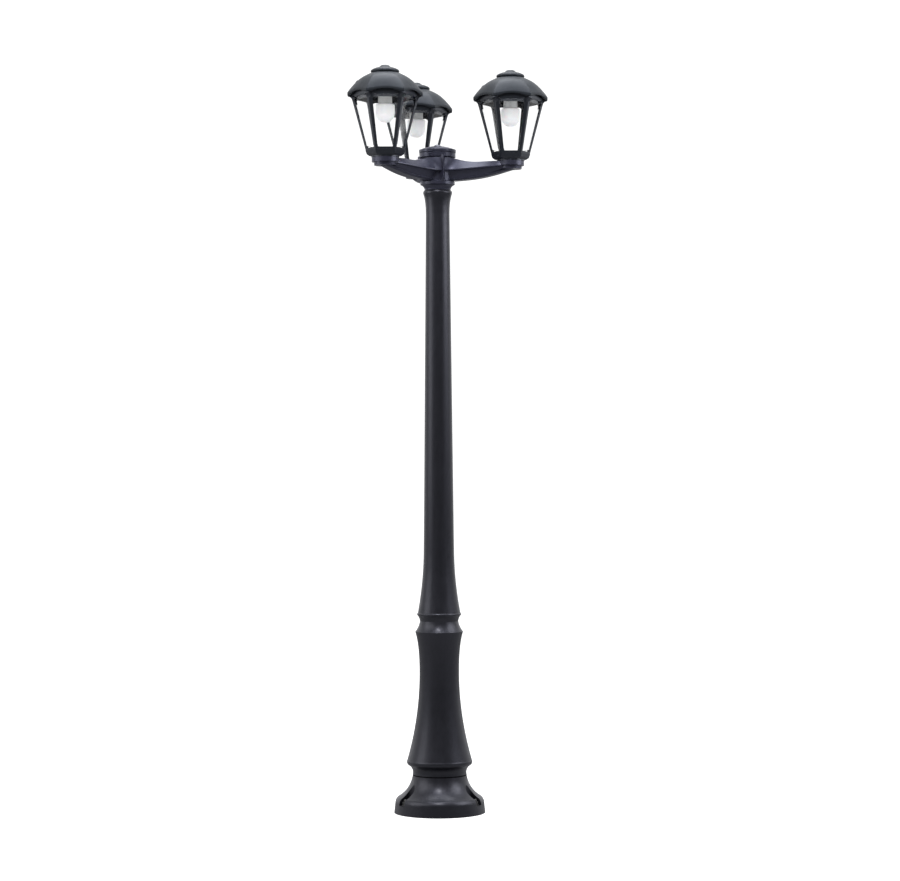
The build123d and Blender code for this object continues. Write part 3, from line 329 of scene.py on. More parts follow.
# %% Plastic, paint and rubber finishes
PLAIN_GLOSS_DRIFT = 0.04
PLAIN_EDGE = 0.4 * MM
PLAIN_DEPTH = 0.04 * MM
GLOSS_FINER = 4                # the gloss drifts over shorter ways than the colour does
GRAIN_FINER = 20               # and the surface's grain is finer still
OPAL_SCATTER = 0.15            # how much of the light goes into the globe's wall
OPAL_DEPTH = 3 * MM            # how far it wanders in there
OPAL_GLOW = 0.17
HOUSING_GLOW = 0.02


def plain(name, dark, light, gloss, scale=60.0, bump=0.15):
    """Plastic, paint or rubber. The scale is that of its drift in colour."""
    finish, tree, shader = new_finish(name)
    place = place_of(tree)
    drift = spread(tree, noise(tree, place, scale, detail=3.0))
    rough = noise(tree, place, scale * GLOSS_FINER, detail=2.0)
    grain = noise(tree, place, scale * GRAIN_FINER, detail=2.0)
    fill(tree, shader, {
        "Base Color": two_tone(tree, drift, dark, light),
        "Roughness": spread(tree, rough, gloss - PLAIN_GLOSS_DRIFT, gloss + PLAIN_GLOSS_DRIFT),
        "Normal": relief(tree, grain, PLAIN_DEPTH, bump, soft_edges(tree, PLAIN_EDGE)),
    })
    return finish


def glow(finish, colour, strength):
    """Let a finish shine. The strength is a number or a node's output."""
    fill(finish.node_tree, shader_of(finish),
         {"Emission Color": opaque(colour), "Emission Strength": strength})


seal_rubber = plain("seal_rubber", (0.012, 0.012, 0.012), (0.022, 0.022, 0.022), gloss=0.75)
holder_black = plain("holder_black", (0.010, 0.010, 0.010), (0.018, 0.018, 0.018), gloss=0.45)
plate_paint = plain("plate_paint", (0.030, 0.031, 0.033), (0.045, 0.046, 0.048), gloss=0.5)
block_plastic = plain("block_plastic", (0.66, 0.64, 0.58), (0.74, 0.72, 0.66), gloss=0.5)
housing_plastic = plain("housing_plastic", (0.62, 0.63, 0.63), (0.68, 0.69, 0.69),
                        gloss=0.35, scale=30.0, bump=0.05)
glow(housing_plastic, WHITE, HOUSING_GLOW)
opal = plain("opal_globe", (0.80, 0.81, 0.82), (0.84, 0.85, 0.86),
             gloss=0.30, scale=25.0, bump=0.03)
fill(opal.node_tree, shader_of(opal),
     {"Subsurface Weight": OPAL_SCATTER, "Subsurface Scale": OPAL_DEPTH})
glow(opal, (0.96, 0.985, 1.0), OPAL_GLOW)
print("rubber, paint, plastics and opal ready")

# %% [markdown]
# ## The clear panes
#
# The panes are clear moulded sheets, a few millimetres thick. They are real solids here, so the
# shader bends light as a sheet does, and their edges go dark as a real sheet's edges do. The
# bend is weaker than in real plastic, because the white behind the photo's panes isn't dimmed.
# A clean sheet hardly shows in the middle. Only a slow ripple in the surface gives it away.

# %% Pane finish
PANE_BEND = 1.20               # refractive index
PANE_TINTS = ((0.990, 0.994, 0.996), (0.996, 0.998, 0.998))
PANE_TINT_SCALE = 14.0
PANE_RIPPLE_SCALE = 22.0
PANE_RIPPLE_DEPTH = 0.2 * MM
PANE_RIPPLE_STRENGTH = 0.04


def clear_sheet():
    """A clear sheet with the faintest drift in tint."""
    finish, tree, shader = new_finish("clear_pane")
    place = place_of(tree)
    tint = spread(tree, noise(tree, place, PANE_TINT_SCALE, detail=3.0))
    ripple = add_node(tree, "Bump", {"Height": noise(tree, place, PANE_RIPPLE_SCALE, detail=1.0),
                                     "Distance": PANE_RIPPLE_DEPTH,
                                     "Strength": PANE_RIPPLE_STRENGTH})
    fill(tree, shader, {
        "Transmission Weight": 1.0,
        "IOR": PANE_BEND,
        "Roughness": 0.0,
        "Base Color": two_tone(tree, tint, *PANE_TINTS),
        "Normal": ripple.outputs["Normal"],
    })
    return finish


pane_clear = clear_sheet()
print("pane finish ready")

# %% [markdown]
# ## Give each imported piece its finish
#
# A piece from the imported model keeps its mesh, and only its material slot changes. A table from
# the start of each piece's name to its finish does them all.

# %% Assign finishes
FINISH_OF = {
    "foot": post_resin, "lower_column": post_resin, "shaft": post_resin, "hub": arm_resin_painted_light,
    "hub_cover": arm_resin_painted_light, "arm": arm_resin_painted_light, "base": lantern_resin, "cage": lantern_resin,
    "roof": roof_resin_painted_light, "roof_plug": roof_resin_painted_light, "finial": roof_resin_painted_light,
    "core_tube": zinc, "core_nuts": zinc, "fixing": zinc, "anchor": dull_zinc,
    "arm_screws": zinc, "cage_screws": zinc, "plate_screws": zinc,
    "panes": pane_clear, "roof_seal": seal_rubber, "holder_plate": plate_paint,
    "lamp_holder": holder_black, "bulb_cap": nickel, "bulb_body": housing_plastic,
    "bulb_globe": opal, "terminal_block": block_plastic,
}


def give(piece, finish):
    piece.data.materials.clear()
    piece.data.materials.append(finish)


def finish_for(name):
    """The finish of the longest table entry that the name starts with."""
    fitting = [key for key in FINISH_OF if name.startswith(key)]
    return FINISH_OF[max(fitting, key=len)]


for name, piece in nodes.items():
    give(piece, finish_for(name))
print(f"finishes on {len(nodes)} pieces")

# %% [markdown]
# ## Building meshes from rings
#
# Threads, nuts, screw heads and lamps are all round or nearly round about an axis. One builder
# makes them: it takes a list of rings along the axis and skins them. A ring can be a function
# of the angle, so the same builder gives a helix, a hexagon or a plain turned shape.

# %% Ring builder
def finished(name, mesh_maker):
    """Turn the builder's points and faces into a mesh."""
    mesh = bpy.data.meshes.new(name)
    mesh_maker.to_mesh(mesh)
    mesh_maker.free()
    return mesh


def skin_rings(name, rings, segments, closed=False):
    """Join rings into one mesh. A ring is its radius and height, or gives them for an angle."""
    mesh_maker = bmesh.new()
    loops = []
    for ring in rings:
        loop = []
        for step in range(segments):
            angle = tau * step / segments
            radius, height = ring(angle) if callable(ring) else ring
            loop.append(mesh_maker.verts.new((radius * cos(angle), radius * sin(angle), height)))
        loops.append(loop)
    pairs = list(zip(loops, loops[1:]))
    if closed:
        pairs.append((loops[-1], loops[0]))
    for low, high in pairs:
        for step in range(segments):
            after = (step + 1) % segments
            mesh_maker.faces.new((low[step], low[after], high[after], high[step]))
    if not closed:
        mesh_maker.faces.new(list(reversed(loops[0])))
        mesh_maker.faces.new(loops[-1])
    bmesh.ops.recalc_face_normals(mesh_maker, faces=mesh_maker.faces)
    return finished(name, mesh_maker)


def turned(points, height):
    """Rings from (radius, rise) pairs in millimetres, where the rise is from the height."""
    return [(radius * MM, height + rise * MM) for radius, rise in points]


def smooth(mesh, sharp_above=35.0):
    """Smooth shading, but keep edges sharper than the angle crisp."""
    mesh.shade_smooth()
    mesh.set_sharp_from_angle(angle=radians(sharp_above))
    return mesh


def gather(name, mesh, places):
    """One object that holds a copy of the mesh at each place, in the frame's own coordinates."""
    whole = bmesh.new()
    for place in places:
        moved = mesh.copy()
        moved.transform(place)
        whole.from_mesh(moved)
        bpy.data.meshes.remove(moved)
    return add_object(name, finished(name, whole))


def upright_at(x, y, height=0.0):
    """One place for gather, with the mesh left upright."""
    return [Matrix.Translation((x, y, height))]


def middle(name):
    """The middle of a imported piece's box, and its lowest and highest height."""
    low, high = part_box(name)
    return (low[0] + high[0]) / 2, (low[1] + high[1]) / 2, low[2], high[2]


def stand_in(piece, node, body, finish):
    """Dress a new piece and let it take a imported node's place."""
    give(piece, finish)
    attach(piece, body)
    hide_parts(node)


print("ring builder ready")

# %% [markdown]
# ## Threads
#
# A thread is a ridge that climbs one pitch in each turn, so the radius swings with height and
# angle together. A cut thread has straight flanks, and a rolled one is a soft wave.

# %% Threads
def cut_ridge(turns):
    """Height of a cut ridge, from 0 to 1, after so many turns."""
    return 1 - abs(turns % 1.0 - 0.5) * 2


def rolled_ridge(turns):
    """Height of a rolled ridge, from 0 to 1, after so many turns."""
    return 0.5 + 0.5 * cos(tau * turns)


def thread_rings(radius, depth, pitch, low, high, per_pitch=6, ridge=cut_ridge):
    """Rings of a threaded rod, whose crest is at the radius and fades out at both ends."""
    count = max(2, int((high - low) / pitch * per_pitch))
    rings = []
    for index in range(count + 1):
        height = low + (high - low) * index / count
        ends = min(1.0, (height - low) / pitch, (high - height) / pitch)

        def ring(angle, height=height, ends=ends):
            crest = ridge(height / pitch - angle / tau)
            return radius - depth * (1 - ends * crest), height
        rings.append(ring)
    return rings


print("cut and rolled threads ready")

# %% [markdown]
# ## Anchors in the foot
#
# Three studs come up out of the ground through the foot's pockets. The nuts are hexagons with
# both ends chamfered to a circle, and the washers have rolled edges.

# %% Anchor sizes and shapes
ANCHOR_CIRCLE = 113.0 * MM     # radius of the circle that the anchors stand on
ANCHOR_ANGLES = [radians(90 + 120 * k) for k in range(3)]
STUD_R = 5.0 * MM
STUD_PITCH = 1.5 * MM
STUD_THREAD = 0.7 * MM         # depth of its thread
STUD_PLAIN = 20.0 * MM         # its lower end has no thread
STUD_CHAMFER = 0.5 * MM
STUD_END = 0.85                # share of the radius at its lower end
STUD_DOME = 2.5 * MM
DOME_SHARES = ((0.72, 0.45), (0.4, 0.1), (0.12, 0.0))   # of the radius and of the dome's fall
NUT_FLATS = 17.0 * MM
HEX_TURN = pi / 3              # from one corner of a hexagon to the next
NUT_CHAMFER = radians(30)
NUT_LAND = 0.97                # flat end of a nut, as a share of its half width
NUT_PLAY = 0.05 * MM
BORE_CHAMFER = 0.4 * MM
WASHER_R = 10.5 * MM
WASHER_PLAY = 0.4 * MM
WASHER_ROLL = 0.3              # rolled edge, as a share of the thickness


def hexagon(flats):
    """The radius of a hexagon for an angle."""
    def radius(angle):
        return flats / 2 / cos((angle + HEX_TURN / 2) % HEX_TURN - HEX_TURN / 2)
    return radius


def nut_mesh(name, flats, height, bore):
    outline = hexagon(flats)
    land = flats / 2 * NUT_LAND

    def corner(angle, top):
        drop = (outline(angle) - land) * tan(NUT_CHAMFER)
        return outline(angle), (height - drop if top else drop)

    rings = [
        (bore, BORE_CHAMFER), (bore + BORE_CHAMFER, 0.0), (land, 0.0),
        lambda angle: corner(angle, False), lambda angle: corner(angle, True),
        (land, height), (bore + BORE_CHAMFER, height), (bore, height - BORE_CHAMFER),
    ]
    return smooth(skin_rings(name, rings, segments=72, closed=True), sharp_above=25.0)


def washer_mesh(name, outer, inner, thickness):
    roll = thickness * WASHER_ROLL
    rings = [(inner, 0.0), (outer - roll, 0.0), (outer, roll), (outer, thickness - roll),
             (outer - roll, thickness), (inner, thickness)]
    return smooth(skin_rings(name, rings, segments=64, closed=True))


def on_anchors(height):
    """A place for gather at each anchor."""
    return [Matrix.Translation((ANCHOR_CIRCLE * cos(a), ANCHOR_CIRCLE * sin(a), height))
            for a in ANCHOR_ANGLES]


# %% Make the anchors
stud_low, stud_high = middle("anchor_studs")[2:]
stud_rings = [(STUD_R * STUD_END, stud_low), (STUD_R - STUD_CHAMFER, stud_low + STUD_CHAMFER)]
stud_rings += thread_rings(STUD_R, STUD_THREAD, STUD_PITCH,
                           stud_low + STUD_PLAIN, stud_high - STUD_DOME)
stud_rings += [(STUD_R * wide, stud_high - STUD_DOME * fall) for wide, fall in DOME_SHARES]
stud = smooth(skin_rings("stud", stud_rings, segments=40), sharp_above=50.0)
anchor_studs = gather("stud_threads", stud, on_anchors(0.0))
stand_in(anchor_studs, "anchor_studs", "post", dull_zinc)

nut_low, nut_high = middle("anchor_nuts")[2:]
nut = nut_mesh("nut", NUT_FLATS, nut_high - nut_low, STUD_R + NUT_PLAY)
anchor_nuts = gather("anchor_hex_nuts", nut, on_anchors(nut_low))
stand_in(anchor_nuts, "anchor_nuts", "post", dull_zinc)

washer_low, washer_high = middle("anchor_washers")[2:]
washer = washer_mesh("washer", WASHER_R, STUD_R + WASHER_PLAY, washer_high - washer_low)
anchor_washers = gather("anchor_rolled_washers", washer, on_anchors(washer_low))
stand_in(anchor_washers, "anchor_washers", "post", dull_zinc)
print(f"anchors: studs {stud_low / MM:.1f} to {stud_high / MM:.1f} mm")

# %% [markdown]
# ## Screws with cross recesses
#
# Small screws hold the plates, the cages and the arms. Their places are read from the packed
# pieces: the loose solids of a piece are found by walking from point to point, and each one
# gives a place and an axis. The new screw has a domed head with a cross recess and a real thread.

# %% Find the loose solids of a piece
SAME_POINT = 0.001 * MM


def solids_of(name):
    """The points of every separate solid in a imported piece."""
    shape = bmesh.new()
    shape.from_mesh(nodes[name].data)
    shape.transform(nodes[name].matrix_world)
    bmesh.ops.remove_doubles(shape, verts=shape.verts, dist=SAME_POINT)
    met, found = set(), []
    for start in shape.verts:
        if start in met:
            continue
        met.add(start)
        walk, points = [start], []
        while walk:
            point = walk.pop()
            points.append(point.co.copy())
            for edge in point.link_edges:
                other = edge.other_vert(point)
                if other not in met:
                    met.add(other)
                    walk.append(other)
        found.append(points)
    shape.free()
    return found


def along(points, axis):
    """Lowest and highest reach of the points along an axis."""
    reach = [point.dot(axis) for point in points]
    return min(reach), max(reach)


print("arm screws found:", len(solids_of("arm_screws")))

# %% Make the screws
UP = Vector((0, 0, 1))
ARM_SCREW = {"head_r": 5.5 * MM, "head": 4.0 * MM, "shank_r": 3.0 * MM, "length": 34.0 * MM,
             "pitch": 2.0 * MM}
SMALL_SCREW = {"head_r": 3.8 * MM, "head": 2.4 * MM, "shank_r": 2.0 * MM, "length": 12.0 * MM,
               "pitch": 1.2 * MM}
HEAD_SHARES = (0.02, 0.1, 0.14, 0.25, 0.4, 0.55, 0.61, 0.63, 0.75, 0.88, 0.96)
HEAD_FALL = 0.3                # of the head's height, from its middle to its rim
RIM_FALL = 0.45                # where the rim turns straight down
CROSS_REACH = 0.62             # of the head's radius
CROSS_HALF = 0.13              # half the width of an arm of the cross, of the head's radius
CROSS_DEPTH = 0.6              # of the head's height
SCREW_THREAD = 0.16            # depth of the thread, of the shank's radius
SCREW_TIP = 0.1                # radius of the tip, of the shank's radius


def screw_mesh(name, head_r, head, shank_r, length, pitch):
    """A screw whose head's top is at zero and whose shank points down."""
    def top_ring(radius):
        def ring(angle):
            across = min(abs(radius * sin(angle)), abs(radius * cos(angle)))
            inside = radius < head_r * CROSS_REACH and across < head_r * CROSS_HALF
            recess = head * CROSS_DEPTH if inside else 0
            return radius, -HEAD_FALL * head * (radius / head_r) ** 3 - recess
        return ring

    rings = [top_ring(head_r * share) for share in HEAD_SHARES]
    rings += [(head_r, -RIM_FALL * head), (head_r, -head), (shank_r, -head)]
    low, high = -head - length + shank_r, -head - shank_r
    rings += thread_rings(shank_r, shank_r * SCREW_THREAD, pitch, low, high, per_pitch=5)[::-1]
    rings.append((shank_r * SCREW_TIP, -head - length))
    return smooth(skin_rings(name, rings, segments=56), sharp_above=30.0)


def screws_on(node, body, sizes, head_way):
    """Put a new screw on every solid of a node, its head towards the axis or function given."""
    mesh = screw_mesh(node, **sizes)
    places = []
    for points in solids_of(node):
        axis = head_way(points) if callable(head_way) else head_way
        turn = UP.rotation_difference(axis).to_matrix()
        spot = axis * along(points, axis)[1]
        for unit in ((1, 0, 0), (0, 1, 0)):
            sideways = turn @ Vector(unit)
            low, high = along(points, sideways)
            spot = spot + sideways * (low + high) / 2
        places.append(Matrix.Translation(spot) @ turn.to_4x4())
    screws = gather(node + "_threaded", mesh, places)
    stand_in(screws, node, body, zinc)
    return len(places)


def out_to(side):
    """The level way from the post's axis out to a lantern."""
    x, y, _, _ = middle(f"base_{side}")
    return Vector((x, y, 0))


def towards_hub(points):
    """An arm's screws point out from the hub, so their heads face its axis."""
    flat = sum((Vector((point.x, point.y, 0)) for point in points), Vector()) / len(points)
    nearest = min(SIDES, key=lambda side: abs(flat.angle(out_to(side))))
    return -out_to(nearest).normalized()


count = screws_on("arm_screws", "post", ARM_SCREW, towards_hub)
for side in SIDES:
    count += screws_on(f"cage_screws_{side}", "post", SMALL_SCREW, UP)
    count += screws_on(f"plate_screws_{side}", f"{side}_top", SMALL_SCREW, -UP)
print(f"{count} screws with recessed heads")

# %% [markdown]
# ## Fixing tubes
#
# Each lantern is held on its arm by a hollow threaded tube that also carries the wires. A flat
# hexagon nut clamps the base down on it.

# %% Make the fixing tubes
TUBE_R = 8.0 * MM
TUBE_BORE = 6.0 * MM
TUBE_PITCH = 1.5 * MM
TUBE_THREAD = 0.6 * MM
TUBE_CHAMFER = 0.9 * MM
TUBE_LEAD_LOW = 0.8 * MM       # plain ends below and above the thread
TUBE_LEAD_HIGH = 0.6 * MM
TUBE_BORE_LEAD = 0.5 * MM
TUBE_NUT_FLATS = 24.0 * MM
TUBE_NUT_HEIGHT = 6.0 * MM
TUBE_END = 2.0 * MM            # how far the tube stands out of its nut


def tube_mesh(low, high):
    rings = [(TUBE_R - TUBE_CHAMFER, low)]
    rings += thread_rings(TUBE_R, TUBE_THREAD, TUBE_PITCH,
                          low + TUBE_LEAD_LOW, high - TUBE_LEAD_HIGH)
    rings += [(TUBE_R - TUBE_CHAMFER, high), (TUBE_BORE + BORE_CHAMFER, high),
              (TUBE_BORE, high - TUBE_BORE_LEAD), (TUBE_BORE, low + TUBE_BORE_LEAD),
              (TUBE_BORE + BORE_CHAMFER, low)]
    return smooth(skin_rings("tube", rings, segments=48, closed=True), sharp_above=50.0)


for side in SIDES:
    x, y, low, high = middle(f"fixing_{side}")
    threaded = gather(f"fixing_tube_{side}", tube_mesh(low, high), upright_at(x, y))
    stand_in(threaded, f"fixing_{side}", "post", zinc)
    flat_nut = nut_mesh("flat_nut", TUBE_NUT_FLATS, TUBE_NUT_HEIGHT, TUBE_R + NUT_PLAY)
    tube_nut = gather(f"fixing_nut_{side}", flat_nut,
                      upright_at(x, y, high - TUBE_END - TUBE_NUT_HEIGHT))
    give(tube_nut, zinc)
    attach(tube_nut, "post")
print(f"fixing tubes from {low / MM:.1f} to {high / MM:.1f} mm")

# %% [markdown]
# ## The lamps
#
# Each lamp is a white globe on a grey-white housing, with a screw cap. The globe is moulded in
# one piece and meets the housing in a fine dark line. The cap's rolled thread is rounder than a
# cut one, with a pitch of 3.6 mm, and the cap ends in a brass contact.

# %% Lamp cap with its rolled thread
CAP_PITCH = 3.62 * MM
CAP_R = 13.1 * MM
CAP_DEPTH = 1.1 * MM
CAP_LEAD = 1.5 * MM            # plain start of the shell, below its thread
CAP_SHELL_END = 7.5 * MM       # how far below the cap's top its thread ends
TIP_HEIGHT = 3.0 * MM
# Profiles for turned, each as radius and rise in millimetres.
CAP_FOOT = ((11.2, 0.0), (12.0, 0.6))         # from the cap's low end
CAP_NECK = ((11.4, 0.8),)                     # from the end of its thread
CAP_SHOULDER = ((9.2, -3.4), (8.6, -3.0))     # from the cap's top
TIP_FOOT = ((8.5, 0.0), (8.3, 0.4))
TIP_CROWN = ((6.0, -1.2), (4.6, -1.0), (4.4, -0.6), (3.4, -0.2), (1.0, -0.02))


def lamp_cap_mesh(low, high):
    shell_top = high - CAP_SHELL_END
    rings = turned(CAP_FOOT, low)
    rings += thread_rings(CAP_R, CAP_DEPTH, CAP_PITCH, low + CAP_LEAD, shell_top,
                          per_pitch=8, ridge=rolled_ridge)
    rings += turned(CAP_NECK, shell_top) + turned(CAP_SHOULDER, high)
    return smooth(skin_rings("cap_shell", rings, segments=64), sharp_above=40.0)


def tip_mesh(low, high):
    rings = turned(TIP_FOOT, low) + turned(TIP_CROWN, high)
    return smooth(skin_rings("cap_tip", rings, segments=48), sharp_above=40.0)


for side in SIDES:
    x, y, low, high = middle(f"bulb_cap_{side}")
    cap = gather(f"lamp_cap_{side}", lamp_cap_mesh(low, high), upright_at(x, y))
    stand_in(cap, f"bulb_cap_{side}", f"{side}_bulb", nickel)
    tip = gather(f"lamp_tip_{side}", tip_mesh(high - TIP_HEIGHT, high), upright_at(x, y))
    give(tip, brass)
    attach(tip, f"{side}_bulb")
print(f"lamp caps: thread {CAP_PITCH / MM:.2f} mm pitch")

# %% [markdown]
# ## Globe and housing
#
# The globe is a turned profile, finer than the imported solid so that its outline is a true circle
# up close: a half ball below, a short straight side and a round shoulder to its flat top. The
# housing stands on that top. It tapers a little, and two shallow moulded grooves run round it.

# %% Globe and housing
GLOBE_R = 26.6 * MM
GLOBE_WALL = 1.6 * MM
GLOBE_SHOULDER = 4.0 * MM
GLOBE_MOUTH_R = 17.0 * MM
GLOBE_POLE_R = 0.15 * MM       # tiny flats that close the two skins at their lowest points
GLOBE_INNER_POLE_R = 0.1 * MM
BALL_STEPS = 24
SHOULDER_STEPS = 8
HOUSING_FOOT_R = 19.8 * MM
HOUSING_TOP_R = 19.0 * MM
HOUSING_FOOT_CHAMFER = 0.3 * MM
HOUSING_ROUND = 1.5 * MM
ROUND_STEPS = 6
HOUSING_NECK_R = 12.4 * MM
NECK_FLARE = 0.5 * MM          # the neck is wider at its foot
NECK_FLARE_RISE = 0.1 * MM
HOLDER_GAP = 0.4 * MM          # between the housing and the holder over it
GROOVE_DEPTH = 0.35 * MM
GROOVE_HEIGHTS = (3.2 * MM, 6.4 * MM)
GROOVE_SECTION = ((-0.5, 0.0), (-0.2, 1.0), (0.2, 1.0), (0.5, 0.0))   # mm, share of the depth


def globe_skin(low, high, inset):
    """Half section of the globe from its lowest point to its mouth, drawn in by the inset."""
    ball, corner = GLOBE_R - inset, GLOBE_SHOULDER - inset
    centre, top = low + GLOBE_R, high - inset
    rings = []
    for step in range(1, BALL_STEPS + 1):
        angle = radians(-90 + 90 * step / BALL_STEPS)
        rings.append((ball * cos(angle), centre + ball * sin(angle)))
    for step in range(SHOULDER_STEPS + 1):
        angle = radians(90 * step / SHOULDER_STEPS)
        rings.append((ball - corner + corner * cos(angle), top - corner + corner * sin(angle)))
    rings.append((GLOBE_MOUTH_R, top))
    return rings


def globe_mesh(low, high):
    rings = [(GLOBE_POLE_R, low)] + globe_skin(low, high, 0.0)
    rings += globe_skin(low, high, GLOBE_WALL)[::-1] + [(GLOBE_INNER_POLE_R, low + GLOBE_WALL)]
    return smooth(skin_rings("globe", rings, segments=80), sharp_above=50.0)


def housing_mesh(low, high, tall):
    """The housing's turned side with its grooves, and the neck that fills the cap."""
    def side_r(height):
        return HOUSING_FOOT_R + (HOUSING_TOP_R - HOUSING_FOOT_R) * height / tall

    rings = [(side_r(0) - HOUSING_FOOT_CHAMFER, low), (side_r(0), low + HOUSING_FOOT_CHAMFER)]
    for groove in GROOVE_HEIGHTS:
        for shift, share in GROOVE_SECTION:
            height = groove + shift * MM
            rings.append((side_r(height) - GROOVE_DEPTH * share, low + height))
    for step in range(ROUND_STEPS + 1):
        angle = radians(90 * step / ROUND_STEPS)
        rings.append((HOUSING_TOP_R - HOUSING_ROUND * (1 - cos(angle)),
                      low + tall - HOUSING_ROUND * (1 - sin(angle))))
    rings += [(HOUSING_NECK_R + NECK_FLARE, low + tall),
              (HOUSING_NECK_R, low + tall + NECK_FLARE_RISE), (HOUSING_NECK_R, high)]
    return smooth(skin_rings("housing", rings, segments=80), sharp_above=40.0)


for side in SIDES:
    x, y, low, high = middle(f"bulb_globe_{side}")
    globe = gather(f"lamp_globe_{side}", globe_mesh(low, high), upright_at(x, y))
    stand_in(globe, f"bulb_globe_{side}", f"{side}_bulb", opal)
    x, y, low, high = middle(f"bulb_body_{side}")
    tall = middle(f"lamp_holder_{side}")[2] - low - HOLDER_GAP
    housing = gather(f"lamp_housing_{side}", housing_mesh(low, high, tall), upright_at(x, y))
    stand_in(housing, f"bulb_body_{side}", f"{side}_bulb", housing_plastic)
print(f"globes: {2 * GLOBE_R / MM:.1f} mm across")

# %% [markdown]
# ## Lamp holders
#
# The holder is a black socket with a flange at its top. Its skirt is ribbed for grip, which a
# cosine on the radius makes.

# %% Make the lamp holders
HOLDER_R = 20.0 * MM
RIBS = 36
RIB_POINTS = 6                 # points round each rib
RIB_DEPTH = 0.45 * MM
RIBS_LOW = 3.6 * MM            # above the holder's low end
RIBS_HIGH = 11.0 * MM          # below its top
# Profiles for turned: the bore's inner end and the flange from the top, the edge from below.
HOLDER_INSIDE = ((11.9, -2.5), (13.9, -3.0))
HOLDER_EDGE = ((13.9, 0.4), (14.3, 0.0), (18.5, 0.0), (19.55, 0.45), (20.0, 1.5), (20.0, 3.0))
HOLDER_FLANGE = ((20.0, -10.0), (20.0, -8.0), (24.6, -4.2), (25.0, -3.8), (25.0, -0.4),
                 (24.6, 0.0))


def ribbed(height):
    return lambda angle: (HOLDER_R - RIB_DEPTH * (0.5 - 0.5 * cos(RIBS * angle)), height)


def holder_mesh(low, high):
    """Rings from the closed inner end down the bore, round the lower edge and up outside."""
    rings = turned(HOLDER_INSIDE, high) + turned(HOLDER_EDGE, low)
    rings += [ribbed(low + RIBS_LOW), ribbed(high - RIBS_HIGH)]
    rings += turned(HOLDER_FLANGE, high)
    return smooth(skin_rings("holder", rings, segments=RIBS * RIB_POINTS))


for side in SIDES:
    x, y, low, high = middle(f"lamp_holder_{side}")
    holder = gather(f"ribbed_holder_{side}", holder_mesh(low, high), upright_at(x, y))
    stand_in(holder, f"lamp_holder_{side}", f"{side}_top", holder_black)
print(f"lamp holders with {RIBS} ribs")

# %% [markdown]
# ## Feet of the eaves
#
# At each corner the eaves come down to the corbel and close the slit over it. A small wedge on
# both sides of the corner does that, just inside the roof's own lip.

# %% Make the eaves' feet
FOOT_START = 1.0 * MM          # beside the corner
FOOT_FLAT = 10.0 * MM          # end of the level part
FOOT_REACH = 26.0 * MM         # where the foot runs out into the arch
FOOT_LOW = 0.3 * MM            # heights above the roof's lowest point
FOOT_RISE = 5.4 * MM
FOOT_TOP = 7.5 * MM
FOOT_THICK = 4.5 * MM
LIP_INSET = 0.5 * MM


def eaves_foot(corner_r, low):
    """The wedges of all six corners, about the lantern's own axis."""
    outline = [(FOOT_START, FOOT_LOW), (FOOT_FLAT, FOOT_LOW), (FOOT_REACH, FOOT_RISE),
               (FOOT_REACH, FOOT_TOP), (FOOT_START, FOOT_TOP)]
    mesh_maker = bmesh.new()
    for corner in range(6):
        for hand in (-1, 1):
            start = corner * HEX_TURN
            face = start + hand * HEX_TURN / 2
            tip = Vector((corner_r * cos(start), corner_r * sin(start), 0))
            inward = -Vector((cos(face), sin(face), 0))
            run = Vector((-sin(face), cos(face), 0)) * hand
            layers = []
            for depth in (LIP_INSET, LIP_INSET + FOOT_THICK):
                mitre = depth * tan(HEX_TURN / 2)
                layers.append([mesh_maker.verts.new(
                    tip + run * (reach + mitre) + inward * depth + UP * (low + rise))
                    for reach, rise in outline])
            outer, inner = layers
            mesh_maker.faces.new(outer)
            mesh_maker.faces.new(inner[::-1])
            for k in range(len(outline)):
                after = (k + 1) % len(outline)
                mesh_maker.faces.new((outer[k], inner[k], inner[after], outer[after]))
    bmesh.ops.recalc_face_normals(mesh_maker, faces=mesh_maker.faces)
    return finished("eaves_foot", mesh_maker)


for side in SIDES:
    x, y, low, _ = middle(f"roof_{side}")
    corner_r = (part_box(f"roof_{side}")[1][0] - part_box(f"roof_{side}")[0][0]) / 2
    feet = gather(f"eaves_feet_{side}", eaves_foot(corner_r, low), upright_at(x, y))
    give(feet, roof_resin_painted_light)
    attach(feet, f"{side}_top")
print(f"eaves' feet at {corner_r / MM:.1f} mm from each lantern's axis")

# %% [markdown]
# ## Floor and room
#
# The photo has no scenery, only white all round. The floor is a wide disc of pale paper and the
# room is white too. A catalogue photo overexposes both, so a Light Path node lifts them for the
# rays that the camera sees, straight or through a pane. For all other rays the room is dim
# in front of the post and pale behind it: that keeps the dark resin dark where it faces the
# camera, and gives its edges a thin pale rim.

# %% Pale floor and white room
FLOOR_R = 14.0
FLOOR_RINGS = 24
FLOOR_SEGMENTS = 96
FLOOR_HEIGHT = -0.2 * MM       # a hair under the foot
PAPER_LIFT = 1.10              # the floor's glow for the rays that are seen
SEEN_LEVEL = 1.16              # the room's strength for the rays that are seen
FRONT_LEVEL = 0.15             # and for the others, in front of the post
BACK_LEVEL = 1.05              # and behind it
LEVEL_RANGE = (-0.25, 0.75)    # of the direction's Y, which is -1 in front and 1 behind


def seen_rays(tree):
    """1 for rays that the camera sees straight or through a clear sheet, 0 for the others."""
    rays = add_node(tree, "LightPath").outputs
    return arithmetic(tree, "MAXIMUM", rays["Is Camera Ray"], rays["Is Transmission Ray"])


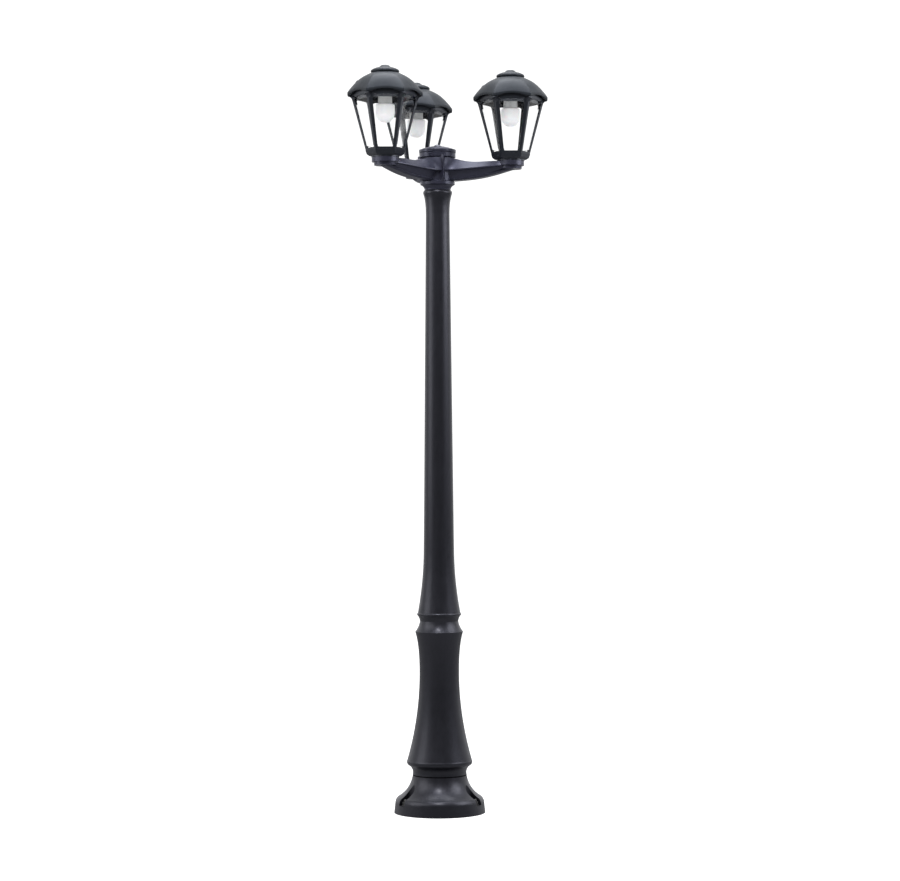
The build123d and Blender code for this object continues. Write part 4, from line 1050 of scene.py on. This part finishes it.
def paper_floor():
    """A flat disc whose rings grow wider from the post outwards."""
    mesh_maker = bmesh.new()
    centre = mesh_maker.verts.new((0, 0, FLOOR_HEIGHT))
    last = None
    for ring in range(1, FLOOR_RINGS + 1):
        radius = FLOOR_R * (ring / FLOOR_RINGS) ** 2
        angles = [tau * k / FLOOR_SEGMENTS for k in range(FLOOR_SEGMENTS)]
        loop = [mesh_maker.verts.new((radius * cos(a), radius * sin(a), FLOOR_HEIGHT))
                for a in angles]
        for k in range(FLOOR_SEGMENTS):
            after = (k + 1) % FLOOR_SEGMENTS
            if last is None:
                mesh_maker.faces.new((centre, loop[k], loop[after]))
            else:
                mesh_maker.faces.new((last[k], loop[k], loop[after], last[after]))
        last = loop
    return add_object("paper_floor", finished("paper_floor", mesh_maker))


floor = paper_floor()
paper = plain("pale_paper", (0.28, 0.28, 0.28), (0.30, 0.30, 0.30), gloss=0.9, scale=2.0, bump=0.0)
paper_tree = paper.node_tree
glow(paper, WHITE, arithmetic(paper_tree, "MULTIPLY", seen_rays(paper_tree), PAPER_LIFT))
give(floor, paper)

world = bpy.data.worlds.new("white_room")
world.use_nodes = True
room = world.node_tree
way = add_node(room, "SeparateXYZ", {"Vector": add_node(room, "TexCoord").outputs["Generated"]})
level = spread(room, way.outputs["Y"], FRONT_LEVEL, BACK_LEVEL, *LEVEL_RANGE)
seen = arithmetic(room, "MULTIPLY", seen_rays(room), SEEN_LEVEL)
strongest = arithmetic(room, "MAXIMUM", level, seen)
fill(room, room.nodes["Background"], {"Color": opaque(WHITE), "Strength": strongest})
bpy.context.scene.world = world
bpy.context.scene.view_settings.view_transform = "Standard"
print(f"floor {2 * FLOOR_R:.0f} m across, room {FRONT_LEVEL} in front and {BACK_LEVEL} behind")

# %% [markdown]
# ## Soft boxes
#
# Big soft boxes make long gentle highlights on dark resin, and small ones would make hard white
# dots. Two tall ones stand beside the post, so that the pole gets a bright stripe along each
# edge and stays darker in the middle. A weak one nearer the camera widens the left stripe at the
# top of the pole. Another is high in front, for the lamps and the top of the pole, and a wide
# one hangs overhead for the roofs and the arms' tops.

# %% Soft boxes
def soft_box(name, place, aim, width, height, power, tint=WHITE):
    """A rectangle of light that shines at its aim, and that the camera doesn't see."""
    light = bpy.data.lights.new(name, "AREA")
    light.shape = "RECTANGLE"
    light.size = width
    light.size_y = height
    light.energy = power
    light.color = tint
    box = add_object(name, light)
    box.location = place
    box.rotation_euler = (Vector(aim) - Vector(place)).to_track_quat("-Z", "Y").to_euler()
    box.visible_camera = False
    box.visible_transmission = False


soft_box("left_box", (-3.2, -0.9, 2.3), aim=(0, 0, 1.6), width=2.2, height=2.8, power=48)
soft_box("near_left_box", (-2.7, -2.7, 3.0), aim=(0, 0, 1.8), width=1.5, height=1.7, power=15)
soft_box("right_box", (3.0, -0.8, 3.0), aim=(0, 0, 1.9), width=2.4, height=2.6, power=92,
         tint=(0.95, 0.96, 1.0))
soft_box("front_box", (-0.25, -2.4, 4.0), aim=(0, 0, 1.0), width=0.8, height=0.8, power=72,
         tint=(0.97, 0.97, 1.0))
soft_box("top_box", (0.1, 0.2, 4.2), aim=(0, 0, 1.9), width=2.3, height=2.3, power=88,
         tint=(0.95, 0.97, 1.0))
print("five soft boxes")
